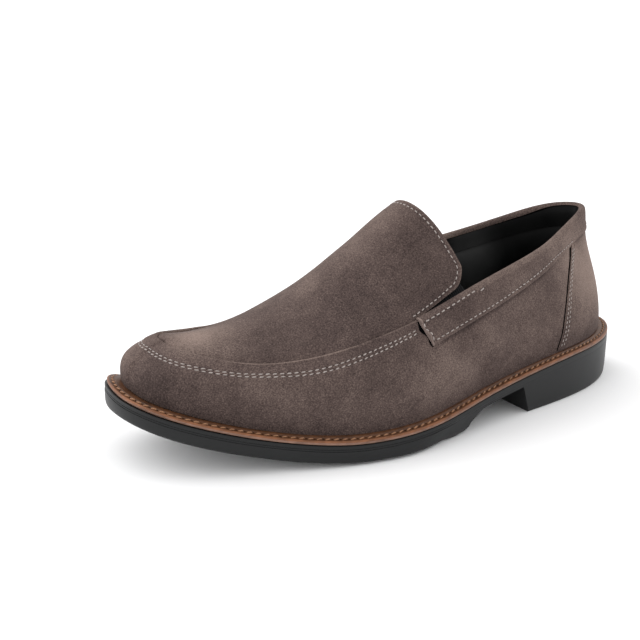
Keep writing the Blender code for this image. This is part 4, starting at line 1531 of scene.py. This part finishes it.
def add_stitches(sewing, line, normals, pitch, width, fill=0.66, skew=0.0):
    """Row of thread stitches along a line on the leather, with a disc of painted shade for the
    needle hole between them.
    """
    threads, hole_shadows = sewing
    lengths = np.linalg.norm(np.diff(line, axis=0), axis=1)
    steps = np.concatenate([[0.0], lengths.cumsum()])
    pitch = np.broadcast_to(pitch, len(line))
    turns = np.concatenate([[0.0], (lengths / pitch[1:]).cumsum()])
    count = max(1, int(round(turns[-1])))
    middles = np.interp((np.arange(count) + 0.5) * turns[-1] / count, turns, steps)
    length = fill * np.interp(middles, steps, pitch)

    def at(values, where):
        return np.column_stack([np.interp(where, steps, values[:, k]) for k in range(3)])

    normal = unit(at(normals, middles))
    ahead = unit(at(line, middles + 0.1) - at(line, middles - 0.1) + 1e-9)
    across = unit(np.cross(normal, ahead))
    rng = np.random.default_rng(count)
    lean = skew + rng.normal(0.0, 0.12, count)
    thick = 0.5 * width * rng.uniform(0.85, 1.15, count)
    angles = np.linspace(0.0, 2.0 * np.pi, STITCH_SIDES, endpoint=False)
    rings = []
    for ring in STITCH_RINGS:
        centre = at(line, middles + ring.along * length)
        centre = centre + normal * (ring.rise * width * 0.5)
        centre = centre + across * (lean * ring.along)[:, None]
        for angle in angles:
            reach = (thick * ring.size)[:, None]
            rings.append(centre + reach * (np.cos(angle) * across + 0.75 * np.sin(angle) * normal))
    for stitch in np.array(rings).transpose(1, 0, 2):
        grid = stitch.reshape(len(STITCH_RINGS), STITCH_SIDES, 3)
        threads.add_grid(grid[::-1], closed=True)

    # discs of painted shade at the needle holes
    spots = np.interp(np.arange(count + 1) * turns[-1] / count, turns, steps)
    centre = at(line, spots)
    normal = unit(at(normals, spots))
    ahead = unit(at(line, spots + 0.1) - at(line, spots - 0.1) + 1e-9)
    across = unit(np.cross(normal, ahead))
    rounds = [
        centre + HOLE_RISE * normal
        + HOLE_SIZE * width * (np.cos(angle) * across + 1.2 * np.sin(angle) * ahead)
        for angle in angles
    ]
    for hole in np.array(rounds).transpose(1, 0, 2):
        first = hole_shadows.add_points(hole)
        hole_shadows.add_faces([list(range(first, first + STITCH_SIDES))])


def wall_run(places, shares, lift):
    """A line on the wall and the directions out of it."""
    line = draped(places, shares, lift)
    return line, unit(draped(places, shares, np.asarray(lift) + 1.0) - line)


def apron_run(below_first):
    """Line of an apron stitch row, from one tab round the toe to the other, and its pitch."""
    places = np.linspace(place_on(APRON_END, -1) - AROUND, place_on(APRON_END, 1), 500)
    rows = row_at(places)
    depths = apron_row_depth(rows) + below_first * apron_rows_apart(rows)
    shares = share_at(places, depths)
    lift = relief(places % AROUND, shares, depths)
    line = wall(places, shares, lift)
    normals = unit(wall(places, shares, lift + 1.0) - line)
    return line, normals, 1.0 + APRON_TOE_PITCH * ease(rows, *APRON_TOE_PITCH_ROWS)


def band_row_depth(places):
    """Depth below the topline of the band's lower stitch row."""
    width = band_width(places)
    share = (width - BAND_HEEL_WIDTH) / (BAND_FRONT_WIDTH - BAND_HEEL_WIDTH)
    drop = BAND_ROW_DROP * ease(row_at(places), *BAND_ROW_DROP_ROWS)
    return width - BAND_ROW_UP[1] - (BAND_ROW_UP[0] - BAND_ROW_UP[1]) * share + drop


def band_run(side, first_row, last_row, depth_of):
    """Line on one side of the collar band at a depth below the topline."""
    places = place_on(np.linspace(first_row, last_row, 240), side)
    section = BandRow(0.0, 0.0, 1.45, 0.7)
    return wall_run(places, share_at(places, depth_of(places)), band_lift(section, row_at(places)))


def tongue_border():
    """Free edge of the tongue as rows and places across, from the outer slit to the inner."""
    rows, reaches = plug_rows()
    first = PLUG_CELLS
    down = np.column_stack([rows[first:], reaches[first:]])
    across = np.linspace(reaches[-1], -reaches[-1], 42)[1:-1]
    end = np.column_stack([np.full(40, rows[-1]), across])
    border = np.concatenate([down, end, down[::-1] * (1.0, -1.0)])
    border[:, 0] = tongue_row(border[:, 0], border[:, 1])
    return border


def tongue_run():
    """Stitch line inside the tongue's free edge, closer to it beside the gores."""
    border = tongue_border()
    beside, end = TONGUE_ROW_IN
    insets = beside + (end - beside) * ease(border[:, 0], *TONGUE_ROW_TURNS)
    rim = bare_plug(border[:, 0], border[:, 1])
    centre = np.array([GORE_ROW - 0.1, 0.0])
    line = []
    for (row, across), inset in zip(border, insets):
        reach = np.linspace(0.0, 0.5, 80)
        rows = row + (centre[0] - row) * reach
        sides = across + (centre[1] - across) * reach
        points = bare_plug(rows, sides)
        away = np.linalg.norm(points[:, None] - rim[None], axis=2).min(axis=1)
        share = np.interp(inset, np.maximum.accumulate(away), reach)
        line.append((row + (centre[0] - row) * share, across + (centre[1] - across) * share))
    rows, sides = np.array(line).T
    return plug(rows, sides, plug_lift(rows, sides)), plug_normal(rows, sides)


def counter_run(side, behind):
    """Stitch line behind the counter's front edge on one side."""
    share = np.linspace(0.03, 0.94, 80)
    places = counter_front(side, share) + side * behind
    return wall_run(places, counter_height(places, share), np.full(80, COUNTER_LIFT))


def tab_front_run(side):
    """Stitch line along a tab's front edge."""
    depth = np.linspace(TAB_ROW[0], BAND_FRONT_WIDTH - BAND_ROW_UP[0], 30)
    places = tab_front(side, depth) + side * TAB_FRONT_ROW
    return wall_run(places, share_at(places, depth), np.full(30, 1.45))


def tab_bar_run(side):
    """Single stitch set apart behind the tab's upper row."""
    depth = np.linspace(TAB_ROW[1] + 1.4, TAB_ROW[1] + 0.9, 12)
    places = place_on(TAB_ROW_END + np.linspace(0.05, 0.11, 12), side)
    return wall_run(places, share_at(places, depth), np.full(12, 1.5))


def make_sewing(name, sewing, colour):
    """Thread, and the painted shade of the needle holes, of one group of seams."""
    threads, hole_shadows = sewing
    threads.build(name, [sewing_thread(name, colour)])
    shade = name + "_holes"
    hole_shadows.build(shade, [fluffy_dark(shade, tinted(colour, 0.06), tinted(colour, 0.12))])


def make_upper_sewing(colours, threads):
    """All sewing of the upper: apron, tongue, band, tabs and counter."""
    pitch, width = threads.pitch / MM, threads.width / MM
    sewing = (Shape(), Shape())
    for below_first in (0.0, 1.0):
        line, normals, longer = apron_run(below_first)
        add_stitches(sewing, line, normals, pitch * longer, width, skew=0.25)
    add_stitches(sewing, *tongue_run(), pitch, width)

    def tab_row_depth(places):
        share = (row_at(places) - BAND_FRONT) / (TAB_ROW_END - BAND_FRONT)
        return TAB_ROW[0] + (TAB_ROW[1] - TAB_ROW[0]) * share

    for side in (1, -1):
        run = band_run(side, BAND_FRONT + 0.17, BAND_ROW_FINE, band_row_depth)
        add_stitches(sewing, *run, 1.12 * pitch, 0.9 * width, fill=0.6)
        run = band_run(side, BAND_ROW_FINE, COUNTER_FRONT + COUNTER_SLANT, band_row_depth)
        add_stitches(sewing, *run, pitch, 0.75 * width, fill=0.55)
        run = band_run(side, BAND_FRONT + 0.08, TAB_ROW_END, tab_row_depth)
        add_stitches(sewing, *run, 1.15 * pitch, width)
        add_stitches(sewing, *tab_front_run(side), pitch, width)
        add_stitches(sewing, *tab_bar_run(side), pitch, width, fill=0.95)
        for behind in COUNTER_ROWS:
            run = counter_run(side, behind)
            add_stitches(sewing, *run, 0.85 * pitch, 0.85 * width, fill=0.62)
    make_sewing("upper_stitches", sewing, colours.thread)


def make_welt_sewing(colours, threads):
    """Thick tan thread in the welt's channel."""
    places = np.linspace(0.0, AROUND, 900)
    ring = inset_outline(places, WELT_ROW_IN)
    line = in_space(ring, seat_on(ring) + GAP + 2.3)
    out = outward(places)
    normals = np.column_stack([0.35 * out[:, 0], -0.35 * out[:, 1], np.ones(len(places))])
    sewing = (Shape(), Shape())
    add_stitches(
        sewing, line, unit(normals), threads.welt_pitch / MM, 1.4 * threads.width / MM, skew=0.8
    )
    make_sewing("welt_stitches", sewing, colours.welt_thread)


def make_sun(name, lean, turn, spread, strength):
    """Wide soft light from above: its lean from straight up, its turn and its spread."""
    lamp = bpy.data.lights.new(name, "SUN")
    lamp.energy = strength
    lamp.angle = np.radians(spread)
    made = bpy.data.objects.new(name, lamp)
    made.rotation_euler = (np.radians(lean), 0.0, np.radians(turn))
    made.location = (0.0, 0.0, 1.0)
    bpy.context.scene.collection.objects.link(made)


# Camera: turn round the shoe and height above the floor in degrees, distance and target in
# millimetres from the middle of the shoe, and the lens on a 36 mm wide film.
CAMERA_TURN = 59.0
CAMERA_RISE = 17.6
CAMERA_DISTANCE = 562.7
CAMERA_TARGET = (-16.6, -35.8, 50.5)
CAMERA_LENS = 61.9


def make_camera():
    """Camera at the photograph's angle to the shoe."""
    turn, rise = np.radians(CAMERA_TURN), np.radians(CAMERA_RISE)
    back = np.array([np.sin(turn) * np.cos(rise), -np.cos(turn) * np.cos(rise), np.sin(rise)])
    camera = bpy.data.cameras.new("camera")
    camera.sensor_width = 36.0
    camera.lens = CAMERA_LENS
    camera.clip_start = 0.01
    made = bpy.data.objects.new("camera", camera)
    made.location = (np.array(CAMERA_TARGET) + CAMERA_DISTANCE * back) * MM
    made.rotation_euler = (0.5 * np.pi - rise, 0.0, turn)
    bpy.context.scene.collection.objects.link(made)
    bpy.context.scene.camera = made


FLOOR_REACH = 60.0


def make_floor(colour):
    """Wide pale floor, in metres."""
    corners = np.array([(-1, -1, 0), (1, -1, 0), (1, 1, 0), (-1, 1, 0)])
    mesh = bpy.data.meshes.new("floor")
    mesh.from_pydata((FLOOR_REACH * corners).tolist(), [], [(0, 1, 2, 3)])
    material, shader = new_material("pale_floor", 0.9)
    shader.inputs["Base Color"].default_value = (*colour, 1.0)
    mesh.materials.append(material)
    made = bpy.data.objects.new("floor", mesh)
    bpy.context.scene.collection.objects.link(made)


def make_world(strength):
    """Even white surroundings."""
    world = bpy.data.worlds.new("studio")
    world.use_nodes = True
    sky = world.node_tree.nodes["Background"]
    sky.inputs["Color"].default_value = (1.0, 1.0, 1.0, 1.0)
    sky.inputs["Strength"].default_value = strength
    bpy.context.scene.world = world


def colour_property(name, description, default):
    """A colour a user may change."""
    return FloatVectorProperty(
        name=name, description=description, default=default, size=3, min=0.0, max=1.0,
        subtype="COLOR",
    )


def length_property(name, description, default):
    """A length a user may change."""
    return FloatProperty(
        name=name, description=description, default=default, min=0.0001, unit="LENGTH",
        precision=5,
    )


def strength_property(name, description, default):
    """Strength of a light that a user may change."""
    return FloatProperty(name=name, description=description, default=default, min=0.0)


class ShoeThreads(bpy.types.PropertyGroup):
    """Sizes of the sewing."""

    pitch: length_property("Stitch pitch", "Length from stitch to stitch", 0.0029)
    width: length_property("Thread width", "Thickness of the thread", 0.0006)
    welt_pitch: length_property("Welt pitch", "Length from stitch to stitch on the welt", 0.0041)


class ShoeColours(bpy.types.PropertyGroup):
    """Colours of the shoe's materials."""

    # The dark and light nap tones are also where painted shade and painted highlights end up
    suede: colour_property("Suede", "Middle tone of the nap", (0.079, 0.0555, 0.0495))
    suede_dark: colour_property("Dark nap", "Shaded tone of the nap", (0.030, 0.0205, 0.019))
    suede_light: colour_property("Light nap", "Brushed tone of the nap", (0.170, 0.126, 0.108))
    thread: colour_property("Thread", "Thread of the upper", (0.345, 0.298, 0.276))
    welt_side: colour_property("Welt side", "Trimmed side of the welt", (0.200, 0.113, 0.081))
    welt_rim: colour_property("Welt rim", "Burnished rim of the welt", (0.180, 0.071, 0.031))
    welt_top: colour_property("Welt top", "Waxed top of the welt", (0.088, 0.035, 0.014))
    welt_thread: colour_property("Welt thread", "Thread of the welt", (0.32, 0.150, 0.068))
    rubber: colour_property("Rubber", "Moulded sole", (0.006, 0.0063, 0.0066))
    lining: colour_property("Lining", "Leather inside", (0.0045, 0.0045, 0.0045))
    elastic: colour_property("Elastic", "Gores beside the tongue", (0.0035, 0.0035, 0.004))
    floor: colour_property("Floor", "Ground under the shoe", (0.92, 0.92, 0.925))


class ShoeStage(bpy.types.PropertyGroup):
    """Strength of the studio's lights."""

    sky: strength_property("Surroundings", "Strength of the even light", 1.1)
    back: strength_property("Back light", "Strength of the light behind the toe", 1.0)
    toe: strength_property("Toe light", "Strength of the light at the toe", 1.0)
    heel: strength_property("Heel light", "Strength of the light at the heel", 0.4)


class SHOE_OT_upper(bpy.types.Operator):
    """Build the suede wall, the plug with its tongue, and the lining"""

    bl_idname = "shoe.upper"
    bl_label = "Suede Upper"

    def execute(self, context):
        colours = context.scene.shoe_colours
        make_wall(colours)
        make_plug(colours)
        make_lining(colours)
        return {"FINISHED"}


class SHOE_OT_overlays(bpy.types.Operator):
    """Build the collar band and the strip of painted shadow below it, the heel counter and the
    painted shadows of the slits
    """

    bl_idname = "shoe.overlays"
    bl_label = "Band and Counter"

    def execute(self, context):
        colours = context.scene.shoe_colours
        make_collar_band(colours)
        make_band_fold(colours)
        make_heel_counter(colours)
        make_slits(colours)
        return {"FINISHED"}


class SHOE_OT_gores(bpy.types.Operator):
    """Build the elastic beside the tongue"""

    bl_idname = "shoe.gores"
    bl_label = "Elastic Gores"

    def execute(self, context):
        colours = context.scene.shoe_colours
        make_gore("gore_outer", 1, colours)
        make_gore("gore_inner", -1, colours)
        return {"FINISHED"}


class SHOE_OT_bottom(bpy.types.Operator):
    """Build the rubber sole, the welt and the insole"""

    bl_idname = "shoe.bottom"
    bl_label = "Sole and Welt"

    def execute(self, context):
        colours = context.scene.shoe_colours
        make_outsole(colours)
        make_welt(colours)
        make_insole(colours)
        return {"FINISHED"}


class SHOE_OT_sewing(bpy.types.Operator):
    """Sew the upper and the welt"""

    bl_idname = "shoe.sewing"
    bl_label = "Stitches"

    def execute(self, context):
        colours = context.scene.shoe_colours
        threads = context.scene.shoe_threads
        make_upper_sewing(colours, threads)
        make_welt_sewing(colours, threads)
        return {"FINISHED"}


class SHOE_OT_stage(bpy.types.Operator):
    """Set the camera, the floor and the lights"""

    bl_idname = "shoe.stage"
    bl_label = "Studio"

    def execute(self, context):
        stage = context.scene.shoe_stage
        make_camera()
        make_floor(context.scene.shoe_colours.floor)
        make_world(stage.sky)
        make_sun("back_light", 45.0, -60.0, 60.0, stage.back)
        make_sun("toe_light", 65.0, -15.0, 60.0, stage.toe)
        make_sun("heel_light", 60.0, 165.0, 60.0, stage.heel)
        context.scene.view_settings.view_transform = "Standard"
        return {"FINISHED"}


class SHOE_PT_sidebar(bpy.types.Panel):
    """Steps and settings of the shoe"""

    bl_idname = "SHOE_PT_sidebar"
    bl_label = "Suede Slip-on Shoe"
    bl_space_type = "VIEW_3D"
    bl_region_type = "UI"
    bl_category = "Shoe"

    def draw(self, context):
        layout = self.layout
        for group in ("shoe_threads", "shoe_colours", "shoe_stage"):
            settings = getattr(context.scene, group)
            box = layout.box()
            for name in settings.__annotations__:
                box.prop(settings, name)
        for operator in OPERATORS:
            layout.operator(operator.bl_idname)


OPERATORS = (
    SHOE_OT_upper, SHOE_OT_overlays, SHOE_OT_gores, SHOE_OT_bottom, SHOE_OT_sewing, SHOE_OT_stage,
)
SETTINGS = {"shoe_threads": ShoeThreads, "shoe_colours": ShoeColours, "shoe_stage": ShoeStage}


def register():
    """Add the settings, the steps and the panel."""
    for item in (*SETTINGS.values(), *OPERATORS, SHOE_PT_sidebar):
        bpy.utils.register_class(item)
    for name, group in SETTINGS.items():
        setattr(bpy.types.Scene, name, PointerProperty(type=group))


def unregister():
    """Take the panel, the steps and the settings away again."""
    for name in SETTINGS:
        delattr(bpy.types.Scene, name)
    for item in (SHOE_PT_sidebar, *OPERATORS[::-1], *reversed(SETTINGS.values())):
        bpy.utils.unregister_class(item)


def main():
    """Build the shoe and its studio."""
    register()
    bpy.ops.shoe.upper()
    bpy.ops.shoe.overlays()
    bpy.ops.shoe.gores()
    bpy.ops.shoe.bottom()
    bpy.ops.shoe.sewing()
    bpy.ops.shoe.stage()


if __name__ == "__main__":
    main()
